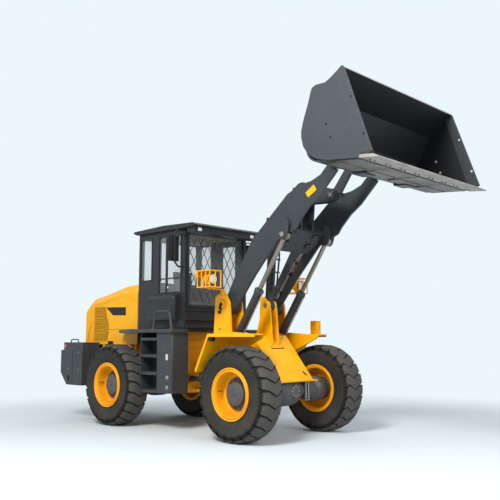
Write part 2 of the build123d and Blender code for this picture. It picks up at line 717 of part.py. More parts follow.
with BuildPart() as link_pivot:
    disc(link_pin, link_pin_radius, -cheek[1] - 10, cheek[1] + 10)
    disc(link_pin, link_boss_radius, -eye_half, eye_half)
    for label, side in sides:
        disc(link_pin, link_disc_radius, *span(side, cheek[1] + 3, cheek[1] + 33))
finish(link_pivot, "link_pin")

with BuildPart() as bucket_link:
    strap(link_pin, bucket_link_pin, 70, 50, -30, 30)
    disc(link_pin, link_boss_radius + 27, -eye_half, eye_half)
    disc(bucket_link_pin, 60, -eye_half, eye_half)
    disc(link_pin, link_boss_radius + fit, -eye_half - 5, eye_half + 5, Mode.SUBTRACT)
    disc(bucket_link_pin, 36, -eye_half - 5, eye_half + 5, Mode.SUBTRACT)
finish(bucket_link, "bucket_link")

# ---- bucket --------------------------------------------------------------------
side_outline = ((reach - 86, 3627), (3715, 4750), (3683, 4786), (3596, 4728), (3508, 4674), (3425, 4634),
                (3273, 4640), (3210, 4617), (3188, 4577), (3143, 4429), (3069, 4241), (3024, 4092),
                (3023, 4002), (3051, 3883), (3121, 3780), (3218, 3706), (3300, 3669), (3449, 3637),
                (3660, 3612), (reach - edge_plate, 3580))
shell_top = ((3700, 4770), (3326, 4490), (3100, 4106))
heel_radius = 200.0
floor_back = (3300.0, 3660.0)
floor_front = (reach - edge_plate, 3600.0)
ear_plate = 30.0
shell_foot = 3860.0
ear_root = 3085.0

with BuildPart() as bucket:
    for label, side in sides:
        y_low, y_high = span(side, bucket_half - side_plate, bucket_half)
        slab(side_outline, y_low, y_high)
    with BuildSketch(Plane.XZ.offset(-(bucket_half - side_plate))) as shell:
        with BuildLine() as contour:
            tops = [(x + pivot_x, z) for x, z in shell_top]
            wall_end = (shell_top[-1][0] + pivot_x, shell_foot)
            heel = (shell_top[-1][0] + pivot_x + heel_radius * (1 - math.cos(math.radians(42))),
                    shell_foot - heel_radius * math.sin(math.radians(42)))
            back_floor = (floor_back[0] + pivot_x, floor_back[1])
            Polyline(*tops, wall_end)
            ThreePointArc(wall_end, heel, back_floor)
            Line(back_floor, (floor_front[0] + pivot_x, floor_front[1]))
            offset(amount=shell_plate, side=Side.RIGHT)
        make_face()
    extrude(shell.sketch, amount=2 * (bucket_half - side_plate))
    for label, side in sides:
        for near in (arm_mid - tip_boss_half - gap - ear_plate, arm_mid + tip_boss_half + gap):
            y_low, y_high = span(side, near, near + ear_plate)
            disc(bucket_pin, 104, y_low, y_high)
            slab([(bucket_pin[0], bucket_pin[1] + 104), (ear_root, bucket_pin[1] + 225),
                  (ear_root, shell_foot), (ear_root + 65, shell_foot - 120),
                  (bucket_pin[0], bucket_pin[1] - 104)], y_low, y_high)
        y_low, y_high = span(side, *cheek)
        disc(bucket_link_pin, 80, y_low, y_high)
        slab([(bucket_link_pin[0] - 20, bucket_link_pin[1] + 78),
              (ear_root + 65, bucket_link_pin[1] + 145), (ear_root, bucket_link_pin[1] + 46),
              (ear_root, bucket_link_pin[1] - 110),
              (bucket_link_pin[0] - 15, bucket_link_pin[1] - 79)], y_low, y_high)
        y_low, y_high = span(side, cheek[1], cheek[1] + 14)
        disc(bucket_link_pin, 40, y_low, y_high)
        disc(bucket_pin, bucket_pin_radius + fit, *span(side, arm_mid - 100, arm_mid + 100),
             Mode.SUBTRACT)
finish(bucket, "bucket")


def floor_point(ahead, above):
    """Point ahead of the bucket floor's front end and above its inner face."""
    run = math.dist(floor_back, floor_front)
    cosine = (floor_front[0] - floor_back[0]) / run
    sine = (floor_front[1] - floor_back[1]) / run
    return (floor_front[0] + ahead * cosine - above * sine,
            floor_front[1] + ahead * sine + above * cosine)


with BuildPart() as cutting_edge:
    slab([floor_point(seat, -30), (reach, 3540), (reach, 3552), floor_point(190, 8),
          floor_point(seat, 8)], -edge_half, edge_half)
    slab(side_outline, -bucket_half, -bucket_half + side_plate, Mode.SUBTRACT)
    slab(side_outline, bucket_half - side_plate, bucket_half, Mode.SUBTRACT)
finish(cutting_edge, "cutting_edge")

with BuildPart() as bucket_pins:
    for label, side in sides:
        reach_y = tip_boss_half + gap + ear_plate + 10
        disc(bucket_pin, bucket_pin_radius, *span(side, arm_mid - reach_y, arm_mid + reach_y))
finish(bucket_pins, "bucket_pins")

# ---- cylinders ------------------------------------------------------------------


def cylinder_barrel(base, aim, y_list, radius, rod_radius, length, eye_radius, pin_radius, half):
    """Barrels hinged at base and pointing at aim, each bored for its rod."""
    for y in y_list:
        start = along(base, aim, eye_radius + 28)
        mouth = along(base, aim, length)
        neck = along(base, aim, length - 70)
        bar((base[0], y, base[1]), (start[0], y, start[1]), half - 5)
        bar((start[0], y, start[1]), (mouth[0], y, mouth[1]), radius * 0.88)
        bar((neck[0], y, neck[1]), (mouth[0], y, mouth[1]), radius)
        disc(base, eye_radius, y - half, y + half)
        bore = along(base, aim, eye_radius + 15)
        bar((bore[0], y, bore[1]), (mouth[0], y, mouth[1]), rod_radius + rod_play, Mode.SUBTRACT)
        disc(base, pin_radius + fit, y - half - 5, y + half + 5, Mode.SUBTRACT)


def cylinder_rod(base, eye, y_list, radius, length, eye_radius, half):
    """Rods that end in an eye at the given point."""
    whole = math.dist(base, eye)
    for y in y_list:
        inner = along(base, eye, whole - length)
        bar((inner[0], y, inner[1]), (eye[0], y, eye[1]), radius)
        disc(eye, eye_radius, y - half, y + half)
        disc(eye, 36, y - half - 5, y + half + 5, Mode.SUBTRACT)


arm_mids = (-arm_mid, arm_mid)
with BuildPart() as lift_barrels:
    cylinder_barrel(lift_base, lift_eye, arm_mids, lift_barrel_radius, lift_rod_radius,
                    lift_barrel_length, 85, arm_pin_radius, 60)
finish(lift_barrels, "lift_cylinder_barrels")

with BuildPart() as lift_rods:
    cylinder_rod(lift_base, lift_eye, arm_mids, lift_rod_radius, lift_rod_length, 74,
                 lift_cheek_gap - gap)
finish(lift_rods, "lift_cylinder_rods")

with BuildPart() as tilt_pivot:
    disc(tilt_base, 38, -cheek[1] - 10, cheek[1] + 10)
finish(tilt_pivot, "tilt_base_pin")

with BuildPart() as tilt_barrel:
    cylinder_barrel(tilt_base, bell_rod_pin, (0,), tilt_barrel_radius, tilt_rod_radius,
                    tilt_barrel_length, 76, 38, eye_half)
finish(tilt_barrel, "tilt_cylinder_barrel")

with BuildPart() as tilt_rod:
    cylinder_rod(tilt_base, bell_rod_pin, (0,), tilt_rod_radius, tilt_rod_length, 74, eye_half)
finish(tilt_rod, "tilt_cylinder_rod")

for label, side in sides:
    y = side * steer_y
    with BuildPart() as steer_barrel:
        bar((steer_rear_x + 30, y, steer_z), (steer_rear_x + steer_barrel_length, y, steer_z),
            steer_barrel_radius)
        post(steer_rear_x, y, 42, steer_z - 45, steer_z + 45)
        bar((steer_rear_x + 58, y, steer_z), (steer_rear_x + steer_barrel_length + 5, y, steer_z),
            steer_rod_radius + rod_play, Mode.SUBTRACT)
        post(steer_rear_x, y, 20 + fit, steer_z - 50, steer_z + 50, Mode.SUBTRACT)
    finish(steer_barrel, "steering_barrel_" + label)
    with BuildPart() as steer_rod:
        bar((steer_front_x - steer_rod_length, y, steer_z), (steer_front_x, y, steer_z), steer_rod_radius)
        post(steer_front_x, y, 34, steer_z - 45, steer_z + 45)
        post(steer_front_x, y, 18, steer_z - 50, steer_z + 50, Mode.SUBTRACT)
    finish(steer_rod, "steering_rod_" + label)

# ---- wheels ----------------------------------------------------------------------
# Radius and distance outboard of the wheel's middle plane
bead_half = 175.0
tyre_rows = ((bead_radius, bead_half), (372, bead_half), (450, 205), (540, tyre_width / 2), (610, 215), (650, 188),
             (tyre_radius, 150))
seat_radius = bead_radius - seat
flange_in = bead_half + seat
rim_rows = ((rim_flange_radius, 200), (rim_flange_radius, flange_in), (seat_radius, flange_in),
            (seat_radius, -flange_in), (rim_flange_radius, -flange_in), (rim_flange_radius, -200),
            (350, -203),
            (306, -185), (302, -30), (250, -10), (170, -10), (170, 20), (250, 20), (296, 70),
            (306, 185), (350, 203))
hub_rows = ((hub_bore_radius + fit, -140), (150, -140), (150, -10), (162, -10), (162, 20 + seat),
            (232, 20 + seat), (232, 42), (hub_cap_radius, 50), (158, 95), (130, 118), (0, 118),
            (0, -42), (hub_bore_radius + fit, -42))


def turned(rows, x, side):
    """Ring turned about the wheel's axis from (radius, outboard) rows."""
    centre = Vector(x + pivot_x, side * track_half, tyre_radius)
    with BuildSketch(Plane(origin=centre, x_dir=(1, 0, 0), z_dir=(0, 0, 1))) as section:
        with BuildLine():
            Polyline(*[(radius, side * out) for radius, out in rows], close=True)
        make_face()
    revolve(section.sketch, axis=Axis(centre, (0, 1, 0)))


for end, x in (("front", axle_x), ("rear", -axle_x)):
    for label, side in sides:
        with BuildPart() as tyre:
            mirrored = [(radius, -out) for radius, out in reversed(tyre_rows)]
            turned(list(tyre_rows) + mirrored, x, side)
        finish(tyre, "tyre_" + end + "_" + label)
        with BuildPart() as rim:
            turned(rim_rows, x, side)
        finish(rim, "rim_" + end + "_" + label)
        with BuildPart() as hub:
            turned(hub_rows, x, side)
        finish(hub, "hub_" + end + "_" + label)
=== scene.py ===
import json
import math
import random

import bmesh
import bpy
from mathutils import Matrix, Vector


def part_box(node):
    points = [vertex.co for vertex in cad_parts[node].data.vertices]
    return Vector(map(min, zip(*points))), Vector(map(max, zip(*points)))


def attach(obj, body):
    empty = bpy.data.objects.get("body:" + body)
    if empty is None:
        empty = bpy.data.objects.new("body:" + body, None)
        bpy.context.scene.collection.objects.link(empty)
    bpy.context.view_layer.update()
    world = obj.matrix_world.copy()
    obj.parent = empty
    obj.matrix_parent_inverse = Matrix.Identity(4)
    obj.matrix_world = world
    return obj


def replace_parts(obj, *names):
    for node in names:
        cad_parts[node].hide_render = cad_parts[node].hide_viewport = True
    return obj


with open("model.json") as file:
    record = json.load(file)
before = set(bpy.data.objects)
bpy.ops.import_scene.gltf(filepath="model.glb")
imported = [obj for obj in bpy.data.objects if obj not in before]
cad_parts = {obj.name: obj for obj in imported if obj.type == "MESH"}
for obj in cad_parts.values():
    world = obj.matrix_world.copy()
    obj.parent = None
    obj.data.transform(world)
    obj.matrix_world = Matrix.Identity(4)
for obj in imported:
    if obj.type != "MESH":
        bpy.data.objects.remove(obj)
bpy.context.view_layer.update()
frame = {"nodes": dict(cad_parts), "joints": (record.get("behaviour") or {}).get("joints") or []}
random.seed(11)

# where the joints stand; lengths along the machine are measured from the steering pin
pivots = {joint["name"]: Vector(joint["pos_m"]) for joint in frame["joints"] if "pos_m" in joint}
steerX = pivots["steering"].x
signs = (-1, 1)  # right, left
axleReach, axleLevel = 1.5, 0.675


def at(ahead, left, up):
    return Vector((steerX + ahead, left, up))


# shader building

def put(tree, kind, **settings):
    node = tree.nodes.new("ShaderNode" + kind)
    for name, value in settings.items():
        setattr(node, name, value)
    return node


def feed(tree, target, source):
    # a number or colour is set on the socket, anything else is linked to it
    if isinstance(source, bpy.types.NodeSocket):
        tree.links.new(source, target)
    else:
        target.default_value = source


def maths(tree, operation, first, second=0.0, clamp=False):
    node = put(tree, "Math", operation=operation, use_clamp=clamp)
    feed(tree, node.inputs[0], first)
    feed(tree, node.inputs[1], second)
    return node.outputs[0]


def band(tree, value, low, high, start=0.0, end=1.0):
    node = put(tree, "MapRange", interpolation_type="SMOOTHSTEP")
    for socket, source in zip(node.inputs[:5], (value, low, high, start, end)):
        feed(tree, socket, source)
    return node.outputs[0]


def preset(node, values):
    for name, value in values.items():
        node.inputs[name].default_value = value


def noise(tree, vector, scale, detail=4.0, roughness=0.55):
    node = put(tree, "TexNoise")
    feed(tree, node.inputs["Vector"], vector)
    feed(tree, node.inputs["Scale"], scale)
    preset(node, {"Detail": detail, "Roughness": roughness})
    return node.outputs["Fac"]


def mixed(tree, factor, first, second):
    node = put(tree, "Mix", data_type="RGBA")
    feed(tree, node.inputs[0], factor)
    feed(tree, node.inputs[6], first)
    feed(tree, node.inputs[7], second)
    return node.outputs[2]


def shaderGroup(name, numbers, results):
    # every group takes a place and some numbers, and gives numbers
    tree = bpy.data.node_groups.new(name, "ShaderNodeTree")
    tree.interface.new_socket("Vector", in_out="INPUT", socket_type="NodeSocketVector")
    for label, value in numbers.items():
        socket = tree.interface.new_socket(label, in_out="INPUT", socket_type="NodeSocketFloat")
        socket.default_value = value
    for label in results:
        tree.interface.new_socket(label, in_out="OUTPUT", socket_type="NodeSocketFloat")
    return tree, tree.nodes.new("NodeGroupInput").outputs, tree.nodes.new("NodeGroupOutput").inputs


def useGroup(tree, group, **values):
    node = put(tree, "Group", node_tree=group)
    for label, value in values.items():
        feed(tree, node.inputs[label], value)
    return node.outputs


def makeMottle():
    tree, given, result = shaderGroup("mottle", {"Scale": 3.0}, ("Shade", "Fine"))
    broad = noise(tree, given["Vector"], given["Scale"], 3.0)
    feed(tree, result["Shade"], band(tree, broad, 0.3, 0.7))
    fineScale = maths(tree, "MULTIPLY", given["Scale"], 14.0)
    feed(tree, result["Fine"], band(tree, noise(tree, given["Vector"], fineScale, 5.0), 0.35, 0.65))
    return tree


def makeEdgeWear():
    tree, given, result = shaderGroup("edgeWear", {"Scale": 30.0, "Amount": 0.5}, ("Mask",))
    # the rounded normal leaves the true one only close to an edge
    rounded = put(tree, "Bevel", samples=4)
    preset(rounded, {"Radius": 0.008})
    turn = put(tree, "VectorMath", operation="DOT_PRODUCT")
    feed(tree, turn.inputs[0], rounded.outputs["Normal"])
    feed(tree, turn.inputs[1], put(tree, "NewGeometry").outputs["Normal"])
    sharp = band(tree, turn.outputs["Value"], 0.99, 0.93)
    patchy = band(tree, noise(tree, given["Vector"], given["Scale"], 6.0, 0.7), 0.45, 0.62)
    worn = maths(tree, "MULTIPLY", sharp, patchy)
    feed(tree, result["Mask"], maths(tree, "MULTIPLY", worn, given["Amount"], True))
    return tree


def makeDust():
    tree, given, result = shaderGroup("groundDust", {"Top": 1.4, "Amount": 0.5}, ("Mask",))
    split = put(tree, "SeparateXYZ")
    feed(tree, split.inputs[0], given["Vector"])
    height = maths(tree, "DIVIDE", split.outputs["Z"], given["Top"])
    low = maths(tree, "SUBTRACT", 1.0, height, True)
    cloud = band(tree, noise(tree, given["Vector"], 5.0, 6.0, 0.65), 0.3, 0.75)
    speckle = band(tree, noise(tree, given["Vector"], 60.0, 4.0, 0.7), 0.4, 0.7)
    normal = put(tree, "SeparateXYZ")
    feed(tree, normal.inputs[0], put(tree, "TexCoord").outputs["Normal"])
    upward = band(tree, normal.outputs["Z"], 0.4, 1.0, 0.0, 0.5)
    lying = maths(tree, "ADD", maths(tree, "MULTIPLY", low, 1.2), upward)
    broken = maths(tree, "MULTIPLY", cloud, maths(tree, "ADD", maths(tree, "MULTIPLY", speckle, 0.5), 0.5))
    dusty = maths(tree, "MULTIPLY", lying, broken)
    feed(tree, result["Mask"], maths(tree, "MULTIPLY", dusty, given["Amount"], True))
    return tree


def makeScuffs():
    tree, given, result = shaderGroup("scuffs", {"Scale": 6.0, "Amount": 0.3}, ("Mask",))
    turned = put(tree, "Mapping")
    feed(tree, turned.inputs["Vector"], given["Vector"])
    preset(turned, {"Rotation": (0.3, 0.5, 0.2), "Scale": (1.0, 9.0, 14.0)})
    lines = band(tree, noise(tree, turned.outputs[0], given["Scale"], 8.0, 0.75), 0.58, 0.66)
    where = band(tree, noise(tree, given["Vector"], 2.5, 2.0), 0.42, 0.62)
    rubAndPaintedLight = maths(tree, "MULTIPLY", lines, where)
    feed(tree, result["Mask"], maths(tree, "MULTIPLY", rubAndPaintedLight, given["Amount"], True))
    return tree


def makeSkin():
    tree, given, result = shaderGroup("skinGrain", {"Scale": 200.0, "Coarse": 6.0}, ("Height",))
    grain = noise(tree, given["Vector"], given["Scale"], 2.0)
    waves = noise(tree, given["Vector"], given["Coarse"], 1.0)
    feed(tree, result["Height"], maths(tree, "ADD", grain, maths(tree, "MULTIPLY", waves, 4.0)))
    return tree


mottle = makeMottle()
edgeWear = makeEdgeWear()
groundDust = makeDust()
scuffs = makeScuffs()
skinGrain = makeSkin()
dustColour = (0.20, 0.155, 0.11, 1.0)
materials = {}


def newMaterial(name):
    materials[name] = bpy.data.materials.new(name)
    materials[name].use_nodes = True
    tree = materials[name].node_tree
    return tree, tree.nodes["Principled BSDF"]


def addBump(tree, shader, height, strength, distance):
    bump = put(tree, "Bump")
    preset(bump, {"Strength": strength, "Distance": distance})
    feed(tree, bump.inputs["Height"], height)
    feed(tree, shader.inputs["Normal"], bump.outputs["Normal"])


def surface(name, colour, deep, roughness, bare=(0.35, 0.34, 0.33, 1.0), bareMetal=0.6, coat=0.0,
            metallic=0.0, wear=0.4, scuff=0.15, dust=0.3, dustTop=1.3, scale=2.2, grain=240.0,
            relief=0.05, spread=0.08, specular=0.5):
    tree, shader = newMaterial(name)
    place = put(tree, "TexCoord").outputs["Object"]
    tone = useGroup(tree, mottle, Vector=place, Scale=scale)
    worn = useGroup(tree, edgeWear, Vector=place, Scale=scale * 12.0, Amount=wear)["Mask"]
    rubAndPaintedLight = useGroup(tree, scuffs, Vector=place, Scale=scale * 3.0, Amount=scuff)["Mask"]
    dirt = useGroup(tree, groundDust, Vector=place, Top=dustTop, Amount=dust)["Mask"]
    base = mixed(tree, tone["Shade"], (*deep, 1.0), (*colour, 1.0))
    base = mixed(tree, maths(tree, "MULTIPLY", rubAndPaintedLight, 0.6), base, bare)
    base = mixed(tree, worn, base, bare)
    base = mixed(tree, dirt, base, dustColour)
    feed(tree, shader.inputs["Base Color"], base)
    rough = maths(tree, "ADD", roughness, maths(tree, "MULTIPLY", tone["Fine"], spread))
    dull = maths(tree, "MULTIPLY", maths(tree, "MAXIMUM", dirt, rubAndPaintedLight), 0.35)
    rough = maths(tree, "ADD", rough, dull, True)
    feed(tree, shader.inputs["Roughness"], rough)
    if metallic > 0.0:
        clean = maths(tree, "SUBTRACT", 1.0, dirt)
        feed(tree, shader.inputs["Metallic"], maths(tree, "MULTIPLY", clean, metallic))
    else:
        feed(tree, shader.inputs["Metallic"], maths(tree, "MULTIPLY", worn, bareMetal))
    preset(shader, {"Coat Weight": coat, "Coat Roughness": 0.08, "Specular IOR Level": specular})
    height = useGroup(tree, skinGrain, Vector=place, Scale=grain, Coarse=scale * 2.0)["Height"]
    addBump(tree, shader, height, relief, 0.002)
    return tree, shader


def clearPane(name, tint, alpha, roughness=0.03):
    tree, shader = newMaterial(name)
    place = put(tree, "TexCoord").outputs["Object"]
    haze = useGroup(tree, groundDust, Vector=place, Top=4.0, Amount=0.25)["Mask"]
    feed(tree, shader.inputs["Base Color"], mixed(tree, haze, (*tint, 1.0), (0.5, 0.48, 0.44, 1.0)))
    feed(tree, shader.inputs["Roughness"], maths(tree, "ADD", roughness, maths(tree, "MULTIPLY", haze, 0.5)))
    feed(tree, shader.inputs["Alpha"], maths(tree, "ADD", alpha, maths(tree, "MULTIPLY", haze, 0.3), True))
    preset(shader, {"Specular IOR Level": 0.7})


def glowing(name, colour, strength, roughness=0.15):
    # lamp glass and reflectors: ribbed, with a little light of their own
    tree, shader = newMaterial(name)
    ribs = put(tree, "TexWave", bands_direction="Y")
    feed(tree, ribs.inputs["Vector"], put(tree, "TexCoord").outputs["Object"])
    preset(ribs, {"Scale": 45.0})
    for socket, shade in (("Base Color", 0.72), ("Emission Color", 0.5)):
        groove = (*[c * shade for c in colour], 1.0)
        feed(tree, shader.inputs[socket], mixed(tree, ribs.outputs["Fac"], groove, (*colour, 1.0)))
    preset(shader, {"Emission Strength": strength, "Roughness": roughness, "Coat Weight": 0.6})
    addBump(tree, shader, ribs.outputs["Fac"], 0.4, 0.003)


def bucketSteel():
    # painted outside; the inside is painted near black, a painted shade on the faces that look in toward the
    # bucket's middle
    tree, shader = surface("bucketPaint", (0.044, 0.053, 0.062), (0.038, 0.046, 0.054), 0.44,
                           scuff=0.08, wear=0.6, dust=0.03, coat=0.04, specular=0.35)
    low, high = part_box("bucket")
    heart = Vector(((low.x + high.x * 2.0) / 3.0, 0.0, (low.z + high.z) / 2.0))
    coords = put(tree, "TexCoord")
    split = put(tree, "SeparateXYZ")
    feed(tree, split.inputs[0], coords.outputs["Object"])
    level = put(tree, "CombineXYZ")
    feed(tree, level.inputs["X"], maths(tree, "SUBTRACT", heart.x, split.outputs["X"]))
    feed(tree, level.inputs["Y"], maths(tree, "MULTIPLY", split.outputs["Y"], -1.0))
    feed(tree, level.inputs["Z"], maths(tree, "SUBTRACT", heart.z, split.outputs["Z"]))
    facing = put(tree, "VectorMath", operation="DOT_PRODUCT")
    feed(tree, facing.inputs[0], level.outputs[0])
    feed(tree, facing.inputs[1], coords.outputs["Normal"])
    inside = band(tree, facing.outputs["Value"], 0.0, 0.03)
    painted = shader.inputs["Base Color"].links[0].from_socket
    # a noise varies the depth of that painted shade
    rubAndPaintedLight = noise(tree, coords.outputs["Object"], 3.0, 6.0, 0.7)
    dark = mixed(tree, rubAndPaintedLight, (0.003, 0.004, 0.005, 1.0), (0.008, 0.010, 0.012, 1.0))
    feed(tree, shader.inputs["Base Color"], mixed(tree, inside, painted, dark))


def tyreRubber():
    # the lugs' tops are lighter grey, as rubbed wear and painted light, and the grooves between them are
    # painted near black as painted shade
    tree, shader = surface("tyreRubber", (0.036, 0.034, 0.032), (0.022, 0.021, 0.020), 0.7,
                           bare=(0.12, 0.112, 0.10, 1.0), bareMetal=0.0, wear=0.5, scuff=0.1,
                           dust=0.3, dustTop=0.9, scale=3.0, grain=420.0, relief=0.3, specular=0.25)
    split = put(tree, "SeparateXYZ")
    feed(tree, split.inputs[0], put(tree, "TexCoord").outputs["Object"])
    ahead = maths(tree, "ABSOLUTE", maths(tree, "SUBTRACT", split.outputs["X"], steerX))
    ahead = maths(tree, "SUBTRACT", ahead, axleReach)
    up = maths(tree, "SUBTRACT", split.outputs["Z"], axleLevel)
    reach = maths(tree, "SQRT", maths(tree, "ADD", maths(tree, "MULTIPLY", ahead, ahead),
                                      maths(tree, "MULTIPLY", up, up)))
    painted = shader.inputs["Base Color"].links[0].from_socket
    # painted shade: near black deep in the grooves, nearer the wheel's axis
    deep = mixed(tree, band(tree, reach, 0.56, 0.60), painted, (0.008, 0.008, 0.008, 1.0))
    rubAndPaintedLight = noise(tree, put(tree, "TexCoord").outputs["Object"], 9.0, 5.0, 0.7)
    # lighter lug tops, as rubbed wear and painted light, varied by a noise
    top = mixed(tree, rubAndPaintedLight, (0.050, 0.047, 0.043, 1.0), (0.095, 0.088, 0.079, 1.0))
    feed(tree, shader.inputs["Base Color"], mixed(tree, band(tree, reach, 0.625, 0.647), deep, top))


def floorMaterial(colour):
    # the floor fades into the backdrop, and keeps the machine's shadow
    tree, shader = newMaterial("studioFloor")
    preset(shader, {"Base Color": colour, "Roughness": 0.9, "Specular IOR Level": 0.1})
    reach = put(tree, "VectorMath", operation="LENGTH")
    feed(tree, reach.inputs[0], put(tree, "TexCoord").outputs["Object"])
    feed(tree, shader.inputs["Alpha"], band(tree, reach.outputs["Value"], 3.5, 9.0, 1.0, 0.0))
    return materials["studioFloor"]


surface("yellowPaint", (0.96, 0.47, 0.002), (0.92, 0.41, 0.001), 0.36, coat=0.08, wear=0.25, scuff=0.02,
        dust=0.10, spread=0.06, bare=(0.55, 0.3, 0.05, 1.0), bareMetal=0.0, specular=0.25)
surface("rimPaint", (0.95, 0.42, 0.002), (0.86, 0.34, 0.001), 0.36, coat=0.08, wear=0.2, scuff=0.03,
        dust=0.2, dustTop=1.1, specular=0.25)
surface("darkPaint", (0.042, 0.049, 0.054), (0.036, 0.042, 0.047), 0.46, coat=0.03, wear=0.3,
        scuff=0.04, dust=0.10, specular=0.3)
surface("armPaint", (0.034, 0.041, 0.046), (0.029, 0.035, 0.040), 0.42, coat=0.04, wear=0.35,
        scuff=0.04, dust=0.06, specular=0.35)
surface("cabPaint", (0.019, 0.023, 0.026), (0.015, 0.018, 0.021), 0.42, coat=0.06, wear=0.2, scuff=0.03,
        dust=0.10, dustTop=2.4, specular=0.3)
bucketSteel()
surface("edgeSteel", (0.40, 0.375, 0.34), (0.27, 0.25, 0.23), 0.42, metallic=0.5, wear=0.2, scuff=0.6,
        dust=0.15, dustTop=9.0, scale=4.0, relief=0.25)
surface("scouredSteel", (0.20, 0.19, 0.175), (0.10, 0.098, 0.094), 0.46, metallic=0.35, wear=0.3,
        scuff=0.8, dust=0.1, dustTop=9.0, scale=3.0, relief=0.2)
surface("rodChrome", (0.33, 0.285, 0.235), (0.27, 0.23, 0.19), 0.22, metallic=0.9, wear=0.0, scuff=0.05,
        dust=0.1, relief=0.01, spread=0.05)
surface("pinSteel", (0.46, 0.44, 0.41), (0.34, 0.33, 0.31), 0.34, metallic=0.85, wear=0.2, scuff=0.25,
        dust=0.2)
surface("zincPlate", (0.50, 0.50, 0.48), (0.38, 0.38, 0.36), 0.36, metallic=0.8, wear=0.1, scuff=0.15,
        dust=0.25, scale=9.0)
surface("axlePaint", (0.095, 0.10, 0.105), (0.07, 0.075, 0.078), 0.5, wear=0.35, scuff=0.08, dust=0.45,
        dustTop=1.2, grain=320.0, relief=0.25, specular=0.35)
surface("castIron", (0.07, 0.07, 0.07), (0.045, 0.045, 0.045), 0.6, wear=0.3, dust=0.3, grain=260.0,
        relief=0.4)
surface("brownStrip", (0.15, 0.07, 0.03), (0.1, 0.045, 0.02), 0.55, wear=0.3, dust=0.1, specular=0.2)
tyreRubber()
surface("hoseRubber", (0.014, 0.014, 0.015), (0.01, 0.01, 0.011), 0.5, wear=0.1, dust=0.2, scale=8.0,
        relief=0.15)
surface("blackTrim", (0.012, 0.012, 0.013), (0.009, 0.009, 0.01), 0.5, wear=0.15, dust=0.12,
        grain=600.0, relief=0.2, specular=0.3)
# black for painted shade in holes, slots and creases and behind the grille mesh, and for dark joints
surface("shadeAndJointBlack", (0.01, 0.01, 0.01), (0.006, 0.006, 0.006), 0.6, wear=0.2, dust=0.2, specular=0.2)
surface("seatVinyl", (0.02, 0.021, 0.024), (0.014, 0.015, 0.018), 0.55, wear=0.2, dust=0.1, grain=500.0,
        relief=0.4)
surface("headliner", (0.34, 0.29, 0.22), (0.28, 0.24, 0.18), 0.8, wear=0.0, dust=0.05, grain=800.0,
        relief=0.4)
# light grey for painted light: the backdrop seen through the bucket's holes, and a highlight along its top
# edge
surface("lightGrey", (0.5, 0.5, 0.49), (0.44, 0.44, 0.43), 0.5, wear=0.1, dust=0.2)
surface("plateGrey", (0.62, 0.62, 0.6), (0.55, 0.55, 0.53), 0.45, wear=0.1, dust=0.15)
clearPane("cabGlass", (0.50, 0.54, 0.55), 0.14)
surface("mirrorGlass", (0.8, 0.82, 0.84), (0.78, 0.8, 0.82), 0.05, metallic=1.0, wear=0.0, scuff=0.0,
        dust=0.04, relief=0.0, spread=0.02)
glowing("lampGlassAndGlint", (0.85, 0.86, 0.84), 0.12)
glowing("amberGlass", (0.9, 0.3, 0.01), 0.1)
glowing("redGlass", (0.6, 0.015, 0.01), 0.1)
print("materials made:", len(materials))


# mesh building


def turnTo(direction):
    return Vector(direction).normalized().to_track_quat("Z", "Y").to_matrix().to_4x4()


def softEdges(bm, edges, width, segments=2):
    bmesh.ops.bevel(bm, geom=list(edges), offset=width, offset_type="OFFSET", segments=segments,
                    profile=0.5, affect="EDGES", clamp_overlap=True, material=-1)


def addBlock(bm, low, high, edge=0.0, turn=None):
    # turn is a rotation about the block's own middle
    low, high = Vector(low), Vector(high)
    size = high - low
    place = Matrix.Translation((low + high) / 2)
    if turn is not None:
        place = place @ turn.to_4x4()
    made = bmesh.ops.create_cube(bm, size=1.0, matrix=place @ Matrix.Diagonal((*size, 1.0)))["verts"]
    if edge > 0.0:
        softEdges(bm, {e for v in made for e in v.link_edges}, edge)


def addRod(bm, start, end, radius, endRadius=None, segments=24, edge=0.0):
    start, end = Vector(start), Vector(end)
    run = end - start
    made = bmesh.ops.create_cone(
        bm, cap_ends=True, segments=segments, radius1=radius,
        radius2=radius if endRadius is None else endRadius, depth=run.length,
        matrix=Matrix.Translation((start + end) / 2) @ turnTo(run))["verts"]
    if edge > 0.0:
        rims = {e for v in made for e in v.link_edges
                if any(len(f.verts) > 4 for f in e.link_faces)}
        softEdges(bm, rims, edge)


def growSheet(bm, corners, reach, edge):
    # a flat face on the corners, grown into a plate
    grown = bmesh.ops.extrude_face_region(bm, geom=[bm.faces.new(corners)])["geom"]
    moved = [g for g in grown if isinstance(g, bmesh.types.BMVert)]
    bmesh.ops.translate(bm, vec=reach, verts=moved)
    if edge > 0.0:
        softEdges(bm, {e for v in corners + moved for e in v.link_edges}, edge, 1)


def addPlate(bm, outline, yLow, yHigh, edge=0.0):
    # cut to an outline of (ahead, up) points, standing along the machine
    growSheet(bm, [bm.verts.new(at(x, yLow, z)) for x, z in outline], (0, yHigh - yLow, 0), edge)


def addDeck(bm, outline, zLow, zHigh):
    # cut to an outline of (ahead, left) points, lying level
    growSheet(bm, [bm.verts.new(at(x, y, zLow)) for x, y in outline], (0, 0, zHigh - zLow), 0.0)


def addSidePlate(bm, sign, outline, yNear, yFar, edge=0.0):
    # sign puts it right or left, and the y values are distances from the middle
    addPlate(bm, outline, *sorted((sign * yNear, sign * yFar)), edge)


def addSideBlock(bm, sign, xSpan, ySpan, zSpan, edge=0.0):
    yLow, yHigh = sorted(sign * y for y in ySpan)
    addBlock(bm, at(xSpan[0], yLow, zSpan[0]), at(xSpan[1], yHigh, zSpan[1]), edge)


def addSideRod(bm, sign, place, yNear, yFar, *radii, **finish):
    x, z = place
    addRod(bm, at(x, sign * yNear, z), at(x, sign * yFar, z), *radii, **finish)


